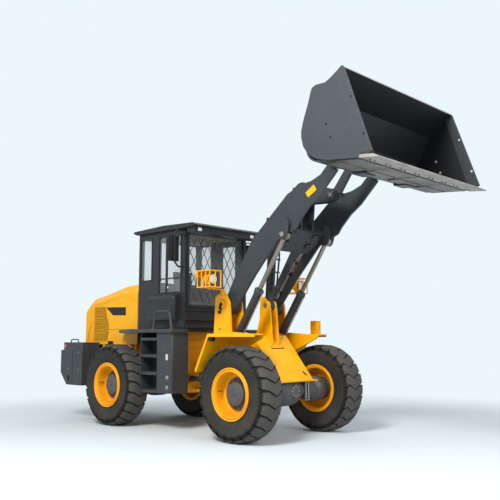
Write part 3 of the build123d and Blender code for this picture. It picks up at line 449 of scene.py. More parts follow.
def addLathe(bm, rows, centre, outward, steps=72, closed=True):
    # (radius, distance along outward) rows turned about the axis through centre
    outward = Vector(outward).normalized()
    across = outward.orthogonal().normalized()
    points = [bm.verts.new(Vector(centre) + across * r + outward * d) for r, d in rows]
    chain = [bm.edges.new((a, b)) for a, b in zip(points, points[1:])]
    if closed:
        chain.append(bm.edges.new((points[-1], points[0])))
    bmesh.ops.spin(bm, geom=points + chain, cent=centre, axis=outward, angle=math.tau, steps=steps,
                   use_merge=True)


def addBolt(bm, place, outward, size):
    place, outward = Vector(place), Vector(outward).normalized()
    addRod(bm, place, place + outward * size * 0.22, size * 1.35, segments=14)
    base = place + outward * size * 0.2
    addRod(bm, base, base + outward * size * 0.75, size, size * 0.94, segments=6)


def addBoltCircle(bm, centre, outward, radius, count, size):
    outward = Vector(outward).normalized()
    across = outward.orthogonal().normalized()
    for number in range(count):
        spoke = Matrix.Rotation(math.tau * number / count, 3, outward) @ across
        addBolt(bm, Vector(centre) + spoke * radius, outward, size)


def addTube(bm, points, radius, bend=None):
    # along a smooth line, or along straight runs with their corners rounded by bend
    route = [Vector(p) for p in points]
    if bend is not None:
        rounded = [route[0]]
        for before, corner, after in zip(route, route[1:], route[2:]):
            reach = min(bend, (before - corner).length * 0.45, (after - corner).length * 0.45)
            start = corner + (before - corner).normalized() * reach
            end = corner + (after - corner).normalized() * reach
            for share in (0.0, 0.25, 0.5, 0.75, 1.0):
                rest = 1 - share
                rounded.append(rest ** 2 * start + 2 * share * rest * corner + share ** 2 * end)
        route = rounded + [route[-1]]
    curve = bpy.data.curves.new("route", "CURVE")
    curve.dimensions = "3D"
    curve.bevel_depth = radius
    curve.bevel_resolution = 2
    curve.use_fill_caps = True
    curve.resolution_u = 8
    spline = curve.splines.new("NURBS" if bend is None else "POLY")
    spline.points.add(len(route) - 1)
    for point, place in zip(spline.points, route):
        point.co = (*place, 1.0)
    if bend is None:
        spline.order_u = min(4, len(route))
        spline.use_endpoint_u = True
    holder = bpy.data.objects.new("route", curve)
    mesh = bpy.data.meshes.new_from_object(holder)
    bm.from_mesh(mesh)
    bpy.data.objects.remove(holder)
    bpy.data.curves.remove(curve)
    bpy.data.meshes.remove(mesh)


def finishPiece(name, bm, body, material, smooth=40.0, merge=1e-5):
    if merge > 0.0:
        bmesh.ops.remove_doubles(bm, verts=bm.verts, dist=merge)
    bmesh.ops.recalc_face_normals(bm, faces=bm.faces)
    mesh = bpy.data.meshes.new(name)
    bm.to_mesh(mesh)
    bm.free()
    mesh.polygons.foreach_set("use_smooth", [True] * len(mesh.polygons))
    mesh.set_sharp_from_angle(angle=math.radians(smooth))
    mesh.materials.append(materials[material])
    piece = bpy.data.objects.new(name, mesh)
    bpy.context.scene.collection.objects.link(piece)
    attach(piece, body)
    return piece


def dress(node, material, edge):
    # a CAD node keeps its shape and gets paint and slightly rounded edges
    piece = frame["nodes"][node]
    piece.data.materials.clear()
    piece.data.materials.append(materials[material])
    if edge > 0.0:
        weld = piece.modifiers.new("weld", "WELD")
        weld.merge_threshold = 0.00001
        soft = piece.modifiers.new("softEdges", "BEVEL")
        soft.width = edge
        soft.segments = 2
        soft.limit_method = "ANGLE"
        soft.angle_limit = math.radians(35.0)
        soft.use_clamp_overlap = True


# tyres, rims and hubs

tyre = {
    "lugs": 24,
    # the lugs' outer face: distance from the middle plane, radius
    "crown": ((0.0, 0.675), (0.06, 0.675), (0.115, 0.6725), (0.155, 0.664), (0.183, 0.648),
              (0.203, 0.622), (0.2155, 0.590), (0.2205, 0.562), (0.2195, 0.545)),
    "sink": (0.034, 0.034, 0.034, 0.034, 0.033, 0.028, 0.018, 0.008, 0.002),
    # gap between neighbouring lugs at the same stations
    "groove": (0.024, 0.024, 0.026, 0.032, 0.042, 0.052, 0.064, 0.080, 0.096),
    # how far each bar runs ahead, as a share of the pitch, from outboard to inboard
    "zigzag": ((-0.25, -0.44), (-0.21, -0.40), (-0.165, -0.06), (-0.04, -0.52), (0.10, -0.10),
               (0.205, 0.0), (0.25, 0.0)),
    "carcass": ((0.331, 0.172), (0.345, 0.1745), (0.372, 0.1745), (0.384, 0.181), (0.390, 0.186),
                (0.398, 0.186), (0.404, 0.189), (0.43, 0.196), (0.436, 0.2005), (0.444, 0.2010),
                (0.450, 0.2005), (0.50, 0.2135), (0.54, 0.2165), (0.560, 0.2150), (0.590, 0.202),
                (0.615, 0.184), (0.632, 0.158), (0.6405, 0.115), (0.6410, 0.0)),
    "edge": 0.006,
}


def between(table, value):
    for (a, first), (b, second) in zip(table, table[1:]):
        if value <= b:
            share = 0.0 if b == a else max(0.0, (value - a) / (b - a))
            return first + (second - first) * share
    return table[-1][1]


def lugPlace(along, across, lift, centre, side):
    # along runs from inboard to outboard, across round the tread, lift from the carcass out
    station = abs(along) * (len(tyre["crown"]) - 1)
    rows = list(enumerate(tyre["crown"]))
    off = between([(n, row[0]) for n, row in rows], station)
    radius = between([(n, row[1]) for n, row in rows], station)
    sink = between(list(enumerate(tyre["sink"])), station)
    groove = between(list(enumerate(tyre["groove"])), station)
    off = math.copysign(off, along)
    pitch = math.tau / tyre["lugs"]
    half = pitch / 2 - groove / radius / 2
    angle = across * half + between(tyre["zigzag"], off) * pitch
    depth = (1.0 - lift) * (sink + 0.004)
    steep = min(1.0, max(0.0, (abs(off) - 0.15) / 0.07))
    radius -= depth * (1.0 - steep * 0.7)
    off -= math.copysign(depth * steep * 0.7, off)
    return centre + Vector((math.cos(angle) * radius, side * off, math.sin(angle) * radius))


def addLugs(bm, centre, side):
    made = bmesh.ops.create_grid(bm, x_segments=24, y_segments=3, size=1.0)["verts"]
    faces = {f for v in made for f in v.link_faces}
    grown = bmesh.ops.extrude_face_region(bm, geom=list(faces))["geom"]
    top = [g for g in grown if isinstance(g, bmesh.types.BMVert)]
    bmesh.ops.translate(bm, vec=(0, 0, 1), verts=top)
    brim = [e for v in top for e in v.link_edges if e.verts[0].co.z > 0.5 and e.verts[1].co.z > 0.5
            and (abs(abs(e.verts[0].co.y + e.verts[1].co.y) - 2) < 1e-4
                 or abs(abs(e.verts[0].co.x + e.verts[1].co.x) - 2) < 1e-4)]
    for v in bm.verts:
        v.co = lugPlace(v.co.x, v.co.y, v.co.z, centre, side)
    softEdges(bm, set(brim), tyre["edge"], 1)
    turns = tyre["lugs"] - 1
    bmesh.ops.spin(bm, geom=list(bm.verts) + list(bm.edges) + list(bm.faces), cent=centre, axis=(0, 1, 0),
                   angle=math.tau * turns / tyre["lugs"], steps=turns, use_duplicate=True)


rim = {
    # radius, distance outboard of the wheel's middle plane
    "profile": ((0.3297, 0.1753), (0.3655, 0.1756), (0.3715, 0.184), (0.3725, 0.193), (0.3695, 0.2015),
                (0.362, 0.2058), (0.3535, 0.2045), (0.3475, 0.198), (0.3435, 0.1885), (0.3395, 0.1885),
                (0.3365, 0.1945), (0.330, 0.2005), (0.322, 0.2020), (0.3145, 0.1985), (0.3095, 0.190),
                (0.3075, 0.172), (0.3045, 0.165), (0.3035, 0.120), (0.2975, 0.060), (0.288, 0.028),
                (0.270, 0.0205), (0.172, 0.0205), (0.172, -0.010), (0.262, -0.010), (0.283, -0.016),
                (0.302, -0.038), (0.306, -0.170), (0.318, -0.190), (0.350, -0.2030), (0.362, -0.2050),
                (0.3695, -0.1995), (0.3715, -0.190), (0.3655, -0.1756), (0.3297, -0.1753)),
}

hub = {
    "profile": ((0.0, 0.112), (0.118, 0.112), (0.124, 0.109), (0.127, 0.103), (0.150, 0.101), (0.157, 0.098),
                (0.163, 0.092), (0.166, 0.084), (0.166, 0.048), (0.170, 0.043), (0.228, 0.042),
                (0.2315, 0.039), (0.2315, 0.0206), (0.162, 0.0206), (0.162, -0.0095), (0.150, -0.0105),
                (0.150, -0.138), (0.066, -0.1395), (0.0, -0.1395)),
    # distance outboard, radius of the circle, count, size
    "bolts": ((0.0425, 0.2, 12, 0.015), (0.112, 0.06, 3, 0.009)),
    "plugs": 8,
    "cap": (0.112, 0.122),
    "valve": (-0.285, 0.055, 0.03),
}

for end in ("front", "rear"):
    for side, sign in (("right", -1), ("left", 1)):
        tag = f"{end}_{side}"
        body = "wheel_" + tag
        low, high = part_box("tyre_" + tag)
        centre = (low + high) / 2
        outward = Vector((0, sign, 0))
        bm = bmesh.new()
        addLugs(bm, centre, sign)
        rows = list(tyre["carcass"]) + [(r, -d) for r, d in reversed(tyre["carcass"][:-1])]
        addLathe(bm, rows, centre, outward, 144)
        piece = finishPiece("tread_" + tag, bm, body, "tyreRubber", 34.0, 0.0)
        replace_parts(piece, "tyre_" + tag)

        bm = bmesh.new()
        addLathe(bm, rim["profile"], centre, outward, 120, False)
        piece = finishPiece("wheelRim_" + tag, bm, body, "rimPaint", 34.0)
        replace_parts(piece, "rim_" + tag)

        bm = bmesh.new()
        addLathe(bm, hub["profile"], centre, outward, 72, False)
        for number in range(hub["plugs"]):
            spoke = Matrix.Rotation(math.tau * number / hub["plugs"], 3, outward) @ Vector((1, 0, 0))
            foot = centre + spoke * 0.14 + outward * 0.101
            addRod(bm, foot, foot + outward * 0.003, 0.006, segments=10)
        piece = finishPiece("wheelHub_" + tag, bm, body, "axlePaint", 34.0)
        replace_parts(piece, "hub_" + tag)

        bm = bmesh.new()
        for away, radius, count, size in hub["bolts"]:
            addBoltCircle(bm, centre + outward * away, outward, radius, count, size)
        foot, tip = (centre + outward * away for away in hub["cap"])
        addRod(bm, foot, tip, 0.02, 0.016, 6, 0.002)
        finishPiece("wheelNuts_" + tag, bm, body, "castIron")

        bm = bmesh.new()
        x, y, z = hub["valve"]
        stem = centre + Vector((x, sign * y, z))
        bent = Vector((0.02, 0, 0))
        addTube(bm, [stem, stem + outward * 0.05, stem + outward * 0.09 + bent], 0.006)
        addRod(bm, stem + outward * 0.088 + bent, stem + outward * 0.11 + Vector((0.024, 0, 0)),
               0.0085, segments=12)
        finishPiece("tyreValve_" + tag, bm, body, "blackTrim")
print("wheels made")


# CAD pieces and their finishes

finishes = {
    "yellowPaint": ("rear_frame", "hood", "hood_grilles", "front_frame", "front_fender_right",
                    "front_fender_left", "headlamps"),
    "darkPaint": ("counterweight", "side_platforms", "side_tanks", "steps", "hand_rails",
                  "tilt_cylinder_barrel", "lift_cylinder_barrels", "steering_barrel_right",
                  "steering_barrel_left"),
    "armPaint": ("lift_arms", "bellcrank", "bucket_link", "bellcrank_pin", "link_pin"),
    "cabPaint": ("cab_frame", "cab_roof", "windscreen_guard", "side_locker", "cab_door"),
    "bucketPaint": ("bucket",),
    "edgeSteel": ("cutting_edge",),
    "rodChrome": ("lift_cylinder_rods", "tilt_cylinder_rod", "steering_rod_right", "steering_rod_left"),
    "pinSteel": ("frame_pins", "bucket_pins", "tilt_base_pin"),
    "axlePaint": ("rear_axle", "front_axle", "rear_driveshaft", "front_driveshaft"),
    "castIron": ("engine_block",),
    "seatVinyl": ("driver_seat",),
    "blackTrim": ("steering_console", "mirrors"),
    "cabGlass": ("cab_glass", "door_glass"),
}
edgeWidths = {"cabGlass": 0.0, "rodChrome": 0.002, "cabPaint": 0.006}
for finish, nodes in finishes.items():
    for node in nodes:
        dress(node, finish, edgeWidths.get(finish, 0.005))
print("CAD pieces dressed")


def addStrip(bm, start, end, yLow, yHigh, low, high, edge=0.0):
    # a bar along a line of (ahead, up) points, from low to high above that line
    first, last = Vector((*start, 0.0)), Vector((*end, 0.0))
    run = (last - first).normalized()
    above = Vector((-run.y, run.x, 0.0))
    outline = [first + above * low, last + above * low, last + above * high, first + above * high]
    addPlate(bm, [(p.x, p.y) for p in outline], min(yLow, yHigh), max(yLow, yHigh), edge)


def onLine(start, end, distance, aside=0.0):
    # the (ahead, up) point at a distance along a line and aside from it
    first, last = Vector(start), Vector(end)
    run = (last - first).normalized()
    return first + run * distance + Vector((-run.y, run.x)) * aside


def addFrame(bm, low, high, width, axis, edge):
    # four flat bars round a rectangle that lies across the given axis
    low, high = Vector(low), Vector(high)
    first, second = [n for n in range(3) if n != axis]
    for along, across in ((first, second), (second, first)):
        for place in (low[across], high[across] - width):
            start, end = low.copy(), high.copy()
            start[across], end[across] = place, place + width
            addBlock(bm, start, end, edge)


# bucket

bucket = {
    "side": 1.34,
    "inner": 1.3135,
    "cutter": ((3.600, 4.711), (3.711, 4.744), (4.098, 3.632), (3.932, 3.622)),
    "holes": ((3.819, 4.354), (3.995, 3.854), (3.428, 4.094), (3.493, 3.913)),
    "holeRadius": 0.017,
    "floor": ((3.30, 3.66), (3.93, 3.60)),
    "lip": ((3.93, 3.57), (4.19, 3.54)),
    "wearPlates": ((-1.29, -0.66), (-0.63, -0.02), (0.02, 0.63), (0.66, 1.29)),
    # along the floor from, to, set in at both ends, underside
    "wearLayers": ((0.22, 0.60, 0.0, -0.034), (0.08, 0.30, 0.05, -0.044)),
    "skids": (0.36, 0.62),
    "boltPairs": 8,
}

plates, dark = bmesh.new(), bmesh.new()
face = bucket["side"]
for sign in signs:
    addSidePlate(plates, sign, bucket["cutter"], face + 0.0004, face + 0.007, 0.003)
    # the holes are drawn as black discs, painted shade inside them, outside and between the plates
    for number, hole in enumerate(bucket["holes"]):
        proud = 0.0084 if number < 2 else 0.0014  # the first two are in the cutter
        for near, far in ((face, face + proud), (face - 0.0255, face - 0.02)):
            addSideRod(dark, sign, hole, near, far, bucket["holeRadius"], segments=20)
finishPiece("sideCutters", plates, "bucket", "bucketPaint")
finishPiece("cutterHoles", dark, "bucket", "shadeAndJointBlack")

bm = bmesh.new()
for low, high in bucket["wearPlates"]:
    for start, end, inset, under in bucket["wearLayers"]:
        addStrip(bm, onLine(*bucket["floor"], start), onLine(*bucket["floor"], end),
                 low + inset, high - inset, under, -0.0202, 0.003)
finishPiece("bucketWearPlates", bm, "bucket", "scouredSteel")

# grey plates over the inside's painted shade, where light falls on the inner faces near the mouth: a lit copy
# of the paint; light grey discs in the holes are painted light from the backdrop behind
plates, holes = bmesh.new(), bmesh.new()
inner = bucket["inner"]
for sign in signs:
    addSidePlate(plates, sign, bucket["cutter"], inner, inner + 0.006, 0.002)
    for hole in bucket["holes"]:
        addSideRod(holes, sign, hole, inner - 0.001, inner + 0.0025, bucket["holeRadius"], segments=20)
finishPiece("innerLitPlates", plates, "bucket", "armPaint")
finishPiece("innerHoleLight", holes, "bucket", "lightGrey")

bm = bmesh.new()
for sign in signs:
    low, high = [sign * y for y in bucket["skids"]]
    start, end = onLine(*bucket["floor"], -0.02), onLine(*bucket["floor"], 0.19)
    addStrip(bm, start, end, low, high, -0.062, -0.02, 0.01)
finishPiece("bucketSkids", bm, "bucket", "bucketPaint")

# a light grey strip along the bucket's top edge: a painted highlight
bm = bmesh.new()
addBlock(bm, at(3.684, -1.314, 4.762), at(3.702, 1.314, 4.778), 0.003)
finishPiece("topEdgeHighlight", bm, "bucket", "lightGrey")

bm = bmesh.new()
pairs = bucket["boltPairs"]
x, z = onLine(*bucket["lip"], 0.06)
for number in range(pairs):
    middle = bucket["side"] * (2.0 * (number + 0.5) / pairs - 1.0)
    for y in (middle - 0.045, middle + 0.045):
        addBolt(bm, at(x, y, z), (-0.1, 0, -1), 0.013)
        addRod(bm, at(x, y, z + 0.037), at(x + 0.002, y, z + 0.0405), 0.014, segments=12)
finishPiece("edgeBolts", bm, "bucket", "scouredSteel")
print("bucket trimmed")


# lift arms and linkage

arms = {
    "face": 0.5,
    "inner": 0.46,
    "plate": ((2.385, 3.502), (2.430, 3.427), (2.585, 3.518), (2.536, 3.600)),
    "pads": (((2.068, 3.452), (2.135, 3.508)), ((2.190, 3.520), (2.245, 3.552))),
    "strips": (((1.50, 2.79), (1.30, 2.49)), ((1.21, 2.47), (1.03, 2.20))),
    "stripThick": 0.012,
    "bracket": ((1.575, 3.135), (1.60, 3.245), (1.632, 3.235), (1.655, 3.205)),
    "pipe": ((1.02, 2.03), (1.36, 2.52), (1.72, 2.86), (1.80, 2.90)),
    "pin": (0.84, 1.97),
    "liftEye": (1.98, 2.944),
    "bellPin": (1.96, 3.62),
    "linkPin": (2.529, 3.51),
    "linkEnd": 0.12,
    "bellEnd": 0.157,
    "beam": ((1.65, 2.76), (2.00, 3.05)),
}

bm = bmesh.new()
for sign in signs:
    addSidePlate(bm, sign, arms["plate"], arms["face"] + 0.0003, arms["face"] + 0.002, 0.0005)
finishPiece("armPlates", bm, "arms", "yellowPaint")

bm = bmesh.new()
for sign in signs:
    y = sign * arms["face"]
    for start, end in arms["pads"]:
        addStrip(bm, start, end, y, y + sign * 0.006, -0.012, 0.012, 0.003)
    addSidePlate(bm, sign, arms["bracket"], 0.462, 0.470, 0.002)
    addSideBlock(bm, sign, (1.585, 1.625), (0.40, 0.47), (3.232, 3.240), 0.002)
    # covers over the lift rods' eyes, and stops on the cross beam
    addSideRod(bm, sign, arms["liftEye"], 0.548, 0.5495, 0.07, segments=36)
    for share in (0.28, 0.72):
        foot = Vector(arms["beam"][0]).lerp(Vector(arms["beam"][1]), share)
        addStrip(bm, foot, foot + Vector((0.06, 0.05)), sign * 0.2, sign * 0.3, -0.03, 0.0, 0.004)
finishPiece("armFittings", bm, "arms", "armPaint")

strips, bolts = bmesh.new(), bmesh.new()
for sign in signs:
    inner = sign * arms["inner"]
    outer = inner - sign * arms["stripThick"]
    for start, end in arms["strips"]:
        addStrip(strips, start, end, inner, outer, -0.033, 0.033, 0.003)
        for share in (0.12, 0.88):
            x, z = Vector(start).lerp(Vector(end), share)
            addBolt(bolts, at(x, outer, z), (0, -sign, 0), 0.009)
finishPiece("armStrips", strips, "arms", "brownStrip")

pipes, clamps = bmesh.new(), bmesh.new()
for sign in signs:
    y = sign * (arms["inner"] - 0.018)
    for rise in (0.075, 0.105):
        addTube(pipes, [at(x - rise * 0.55, y, z + rise * 0.8) for x, z in arms["pipe"]], 0.009, 0.08)
    for (x0, z0), (x1, z1) in zip(arms["pipe"], arms["pipe"][1:3]):
        for share in (0.2, 0.8):
            x, z = x0 + (x1 - x0) * share - 0.05, z0 + (z1 - z0) * share + 0.072
            addStrip(clamps, (x - 0.02, z - 0.015), (x + 0.02, z + 0.015), sign * 0.43, sign * 0.46,
                     -0.035, 0.035, 0.003)
            addBolt(bolts, at(x, sign * 0.43, z), (0, -sign, 0), 0.007)
finishPiece("armPipes", pipes, "arms", "zincPlate")
finishPiece("armPipeClamps", clamps, "arms", "blackTrim")

for sign in signs:
    x, z = arms["liftEye"]
    addSideRod(bolts, sign, arms["liftEye"], 0.556, 0.5655, 0.036, segments=32, edge=0.002)
    addBolt(bolts, at(x - 0.052, sign * 0.549, z + 0.02), (0, sign, 0), 0.008)
    x, z = arms["bellPin"]
    near, far = arms["bellEnd"], arms["bellEnd"] + 0.012
    addSideRod(bolts, sign, arms["bellPin"], near, far, 0.058, segments=32, edge=0.002)
    addBoltCircle(bolts, at(x, sign * far, z), (0, sign, 0), 0.038, 3, 0.008)
finishPiece("armBolts", bolts, "arms", "pinSteel")

bm = bmesh.new()
x, z = arms["linkPin"]
for sign in signs:
    addBoltCircle(bm, at(x, sign * arms["linkEnd"], z), (0, sign, 0), 0.05, 4, 0.008)
    addSideRod(bm, sign, arms["linkPin"], arms["linkEnd"], arms["linkEnd"] + 0.0025, 0.03)
finishPiece("linkPinBolts", bm, "link_carrier", "pinSteel")
print("arms trimmed")


# cylinders

lifting = {"base": (0.84, 1.25), "eye": (1.98, 2.944), "length": 1.115, "radius": 0.06, "head": 0.068,
           "y": 0.48}
tilting = {"base": (1.21, 1.96), "eye": (1.30, 3.15), "length": 0.90, "head": 0.078,
           "clips": (0.3, 0.52, 0.72)}


def upon(cylinder, distance, aside, y):
    x, z = onLine(cylinder["base"], cylinder["eye"], distance, aside)
    return at(x, y, z)


def addGland(bm, cylinder, y):
    # the ring nut, wiper and lock screws at a barrel's mouth
    mouth, head = cylinder["length"], cylinder["head"]
    addRod(bm, upon(cylinder, mouth - 0.03, 0, y), upon(cylinder, mouth - 0.012, 0, y), head + 0.006,
           segments=40, edge=0.002)
    for turn in range(6):
        angle = math.tau * turn / 6
        aside, across = math.cos(angle) * head * 0.78, y + math.sin(angle) * head * 0.78
        addRod(bm, upon(cylinder, mouth, aside, across), upon(cylinder, mouth + 0.006, aside, across),
               0.007, segments=6)


def addClip(bm, cylinder, middle, half, ySpan, low, high, edge):
    start, end = (onLine(cylinder["base"], cylinder["eye"], middle + d) for d in (-half, half))
    addStrip(bm, start, end, *ySpan, low, high, edge)


def addSidePipe(pipes, fittings, cylinder, y, aside, low, high):
    body = math.copysign(cylinder["radius"] * 0.9, aside)
    head = math.copysign(cylinder["head"] * 0.9, aside)
    corners = ((low, body), (low, aside), (high, aside), (high, head))
    addTube(pipes, [upon(cylinder, *corner, y) for corner in corners], 0.0085, 0.03)
    for distance, foot in ((low, body), (high, head)):
        addRod(fittings, upon(cylinder, distance, foot, y),
               upon(cylinder, distance, foot + math.copysign(0.028, aside), y), 0.017, segments=6)
    for share in (0.3, 0.7):
        addClip(fittings, cylinder, low + (high - low) * share, 0.014, (y - 0.013, y + 0.013),
                min(body, aside), max(body, aside), 0.002)


glands, pipes, fittings = bmesh.new(), bmesh.new(), bmesh.new()
for sign in signs:
    y = sign * lifting["y"]
    addGland(glands, lifting, y)
    addSidePipe(pipes, fittings, lifting, y, -0.088, 0.17, 1.08)
    addBolt(fittings, upon(lifting, 1.0, 0.055, y), (-0.83, 0, 0.56), 0.012)
finishPiece("liftGlands", glands, "lift_barrels", "castIron")
finishPiece("liftPipes", pipes, "lift_barrels", "zincPlate")
finishPiece("liftFittings", fittings, "lift_barrels", "castIron")

glands, hoses, fittings = bmesh.new(), bmesh.new(), bmesh.new()
addGland(glands, tilting, 0.0)
for y, reach in ((-0.035, 0.17), (0.035, 0.13)):
    # hoses that lie along the barrel in clips, from the mouth's port down to the foot
    corners = ((0.86, -0.07, 1.0), (0.88, -0.11, 1.3), (0.80, -0.115, 1.5), (0.5, -0.098, 1.4),
               (reach, -0.095, 1.0), (reach, -0.06, 1.0))
    addTube(hoses, [upon(tilting, along, aside, y * apart) for along, aside, apart in corners], 0.015)
    for along, low, high in ((0.86, -0.06, -0.088), (reach, -0.05, -0.085)):
        addRod(fittings, upon(tilting, along, low, y), upon(tilting, along, high, y), 0.019, segments=6)
for distance in tilting["clips"]:
    addClip(fittings, tilting, distance, 0.012, (-0.075, 0.075), -0.122, -0.055, 0.003)
finishPiece("tiltGland", glands, "tilt_barrel", "castIron")
finishPiece("tiltHoses", hoses, "tilt_barrel", "hoseRubber")
finishPiece("tiltFittings", fittings, "tilt_barrel", "castIron")
print("cylinders fitted")


# front frame, fenders and lamps

front = {
    "face": ((1.217, 1.496), (1.774, 0.825)),
    "faceBolts": ((0.06, -0.29), (0.06, 0.24), (0.57, -0.27), (0.57, 0.24)),
    "faceRib": ((1.25, 1.40), (1.66, 0.92), (1.60, 0.92), (1.21, 1.36)),
    "hole": (0.74, 0.265),
    "oblong": (0.235, -0.11, 0.13, 0.028),
    "towerFace": 0.64,
    "keeper": 0.0175,
    "slot": ((0.768, 1.855), (0.808, 1.975)),
    "towerMark": (0.768, 1.595),
    "towerEar": ((0.80, 2.06), (0.86, 2.06), (0.90, 2.14), (0.905, 2.19), (0.86, 2.19), (0.84, 2.15)),
    "fenderEdge": ((1.05, 1.15), (1.47, 1.09), (1.683, 0.82)),
    "fenderTop": 1.52,
    "bumper": (1.085, 1.45),
    "lampHood": ((0.705, 2.462), (0.77, 2.462), (0.77, 2.36), (0.755, 2.36), (0.74, 2.43)),
    "lamp": (1.0, 2.33),
}

outward = Vector((0.7695, 0.0, 0.6388))  # square to the face plate
down = Vector((0.6388, 0, -0.7695))  # along it
bolts, dark, keepers = bmesh.new(), bmesh.new(), bmesh.new()
for distance, y in front["faceBolts"]:
    x, z = onLine(*front["face"], distance)
    addBolt(bolts, at(x, y, z), outward, 0.012)
# a hole in the face plate, drawn as black discs: painted shade
x, z = onLine(*front["face"], front["hole"][0])
for drop in (-0.022, 0.0, 0.022):
    place = at(x, front["hole"][1] + drop * 0.5, z) + down * drop
    addRod(dark, place - outward * 0.004, place + outward * 0.0012, 0.02, segments=20)
start, end = front["slot"]
near, far = front["towerFace"], front["towerFace"] + front["keeper"]
for sign in signs:
    # the pin's keeper plate, and the slot through both, drawn as a black patch of painted shade
    addSideRod(keepers, sign, arms["pin"], 0.650, 0.6565, 0.062, segments=32, edge=0.002)
    addStrip(dark, start, end, sign * near, sign * far, -0.027, 0.027, 0.001)
    for place in front["slot"]:
        addSideRod(dark, sign, place, near, far, 0.027, segments=20)
    x, z = onLine(start, end, 0.03)
    addBolt(bolts, at(x, sign * far, z), (0, sign, 0), 0.012)
    x, z = front["towerMark"]
    addStrip(dark, (x - 0.02, z), (x + 0.02, z), sign * near, sign * (near + 0.0015), -0.009, 0.009)
# an oblong hole drawn as a black patch of painted shade, with its plate's edge showing inside
distance, yLow, yHigh, half = front["oblong"]
x, z = onLine(*front["face"], distance)
for y in (yLow, yHigh):
    place = at(x, y, z)
    addRod(dark, place - outward * 0.004, place + outward * 0.0012, half)
    place = place - down * half * 0.28
    addRod(keepers, place - outward * 0.004, place + outward * 0.0016, half * 0.62)
for bm, low, high, proud in ((dark, -half, half, 0.0012), (keepers, -half * 0.9, half * 0.34, 0.0016)):
    ends = (onLine(*front["face"], distance + reach) for reach in (low, high))
    addStrip(bm, *ends, yLow, yHigh, -0.004, proud)
finishPiece("pinKeepers", keepers, "front", "yellowPaint")
finishPiece("frameBolts", bolts, "front", "pinSteel")
finishPiece("frameOpenings", dark, "front", "shadeAndJointBlack")

bm = bmesh.new()
top = front["fenderTop"]
for sign in signs:
    addSideBlock(bm, sign, (1.36, 1.80), (0.31, 0.44), (0.8153, 0.835), 0.003)
    # stiffeners on the inner side of the face plate
    addSidePlate(bm, sign, front["faceRib"], 0.20, 0.212)
    for level in (1.12, 1.32):
        addSideBlock(bm, sign, (0.56, 1.0), (0.375, 0.40), (level, level + 0.02))
    # rolled edge of the fender, and its brace's flange
    for (x0, y0), (x1, y1) in zip(front["fenderEdge"], front["fenderEdge"][1:]):
        outline = ((x0, y0), (x1, y1), (x1 - 0.004, y1 - 0.012), (x0, y0 - 0.012))
        addDeck(bm, [(x, sign * y) for x, y in outline], top - 0.045, top - 0.02)
    for y in (1.144, 0.66):
        addStrip(bm, (1.066, 1.50), (0.80, 0.985), sign * y, sign * (y - 0.014), -0.03, 0.0, 0.002)
    # hood that guards the cage's lamp, behind its top plate
    addSidePlate(bm, sign, front["lampHood"], 0.88, 1.12, 0.002)
    addSidePlate(bm, sign, front["towerEar"], 0.656, 0.672, 0.002)
finishPiece("frameStiffeners", bm, "front", "yellowPaint")

bm = bmesh.new()
for sign in signs:
    addSideRod(bm, sign, front["bumper"], 1.06, 1.135, 0.04, segments=28, edge=0.006)
    addSideRod(bm, sign, front["bumper"], 1.045, 1.06, 0.022, segments=16)
finishPiece("fenderBumpers", bm, "front", "blackTrim")

lenses, ambers, housings = bmesh.new(), bmesh.new(), bmesh.new()
ring = ((0.079, 0.0), (0.088, 0.0), (0.088, 0.016), (0.079, 0.016))
middle, z = front["lamp"]
for sign in signs:
    y = sign * middle
    addRod(lenses, at(1.0, y, z), at(1.012, y, z), 0.078, 0.07, segments=40, edge=0.003)
    addLathe(housings, ring, at(0.999, y, z), (1, 0, 0), 40)
    addRod(housings, at(0.86, y, z), at(0.882, y, z), 0.06, 0.084, segments=32)
    aside = y + sign * 0.068
    addBlock(ambers, at(0.955, aside - 0.022, 2.245), at(1.004, aside + 0.022, 2.285), 0.006)
    aside = y + sign * 0.088
    addBlock(ambers, at(0.90, aside - 0.014, 2.29), at(1.0, aside + 0.014, 2.38), 0.008)
finishPiece("headLenses", lenses, "front", "lampGlassAndGlint")
finishPiece("indicators", ambers, "front", "amberGlass")
finishPiece("lampRings", housings, "front", "blackTrim")


# axles

axles = {
    "ball": ((0.0, -0.315), (0.10, -0.315), (0.13, -0.308), (0.168, -0.285), (0.199, -0.245), (0.2185, -0.20),
             (0.228, -0.15), (0.232, -0.09), (0.232, 0.04), (0.228, 0.10), (0.2185, 0.15), (0.199, 0.19),
             (0.168, 0.232), (0.13, 0.255), (0.10, 0.262), (0.0, 0.262)),
    "bell": ((0.1255, 0.47), (0.14, 0.485), (0.15, 0.60), (0.197, 0.642), (0.197, 0.66)),
    "cover": (0.215, 0.243),
    # studs that hold the axle: along it from its middle, near and far from the machine's middle
    "studs": (0.145, (0.345, 0.408)),
    "studFoot": 0.515,
    "studLength": 0.345,
}

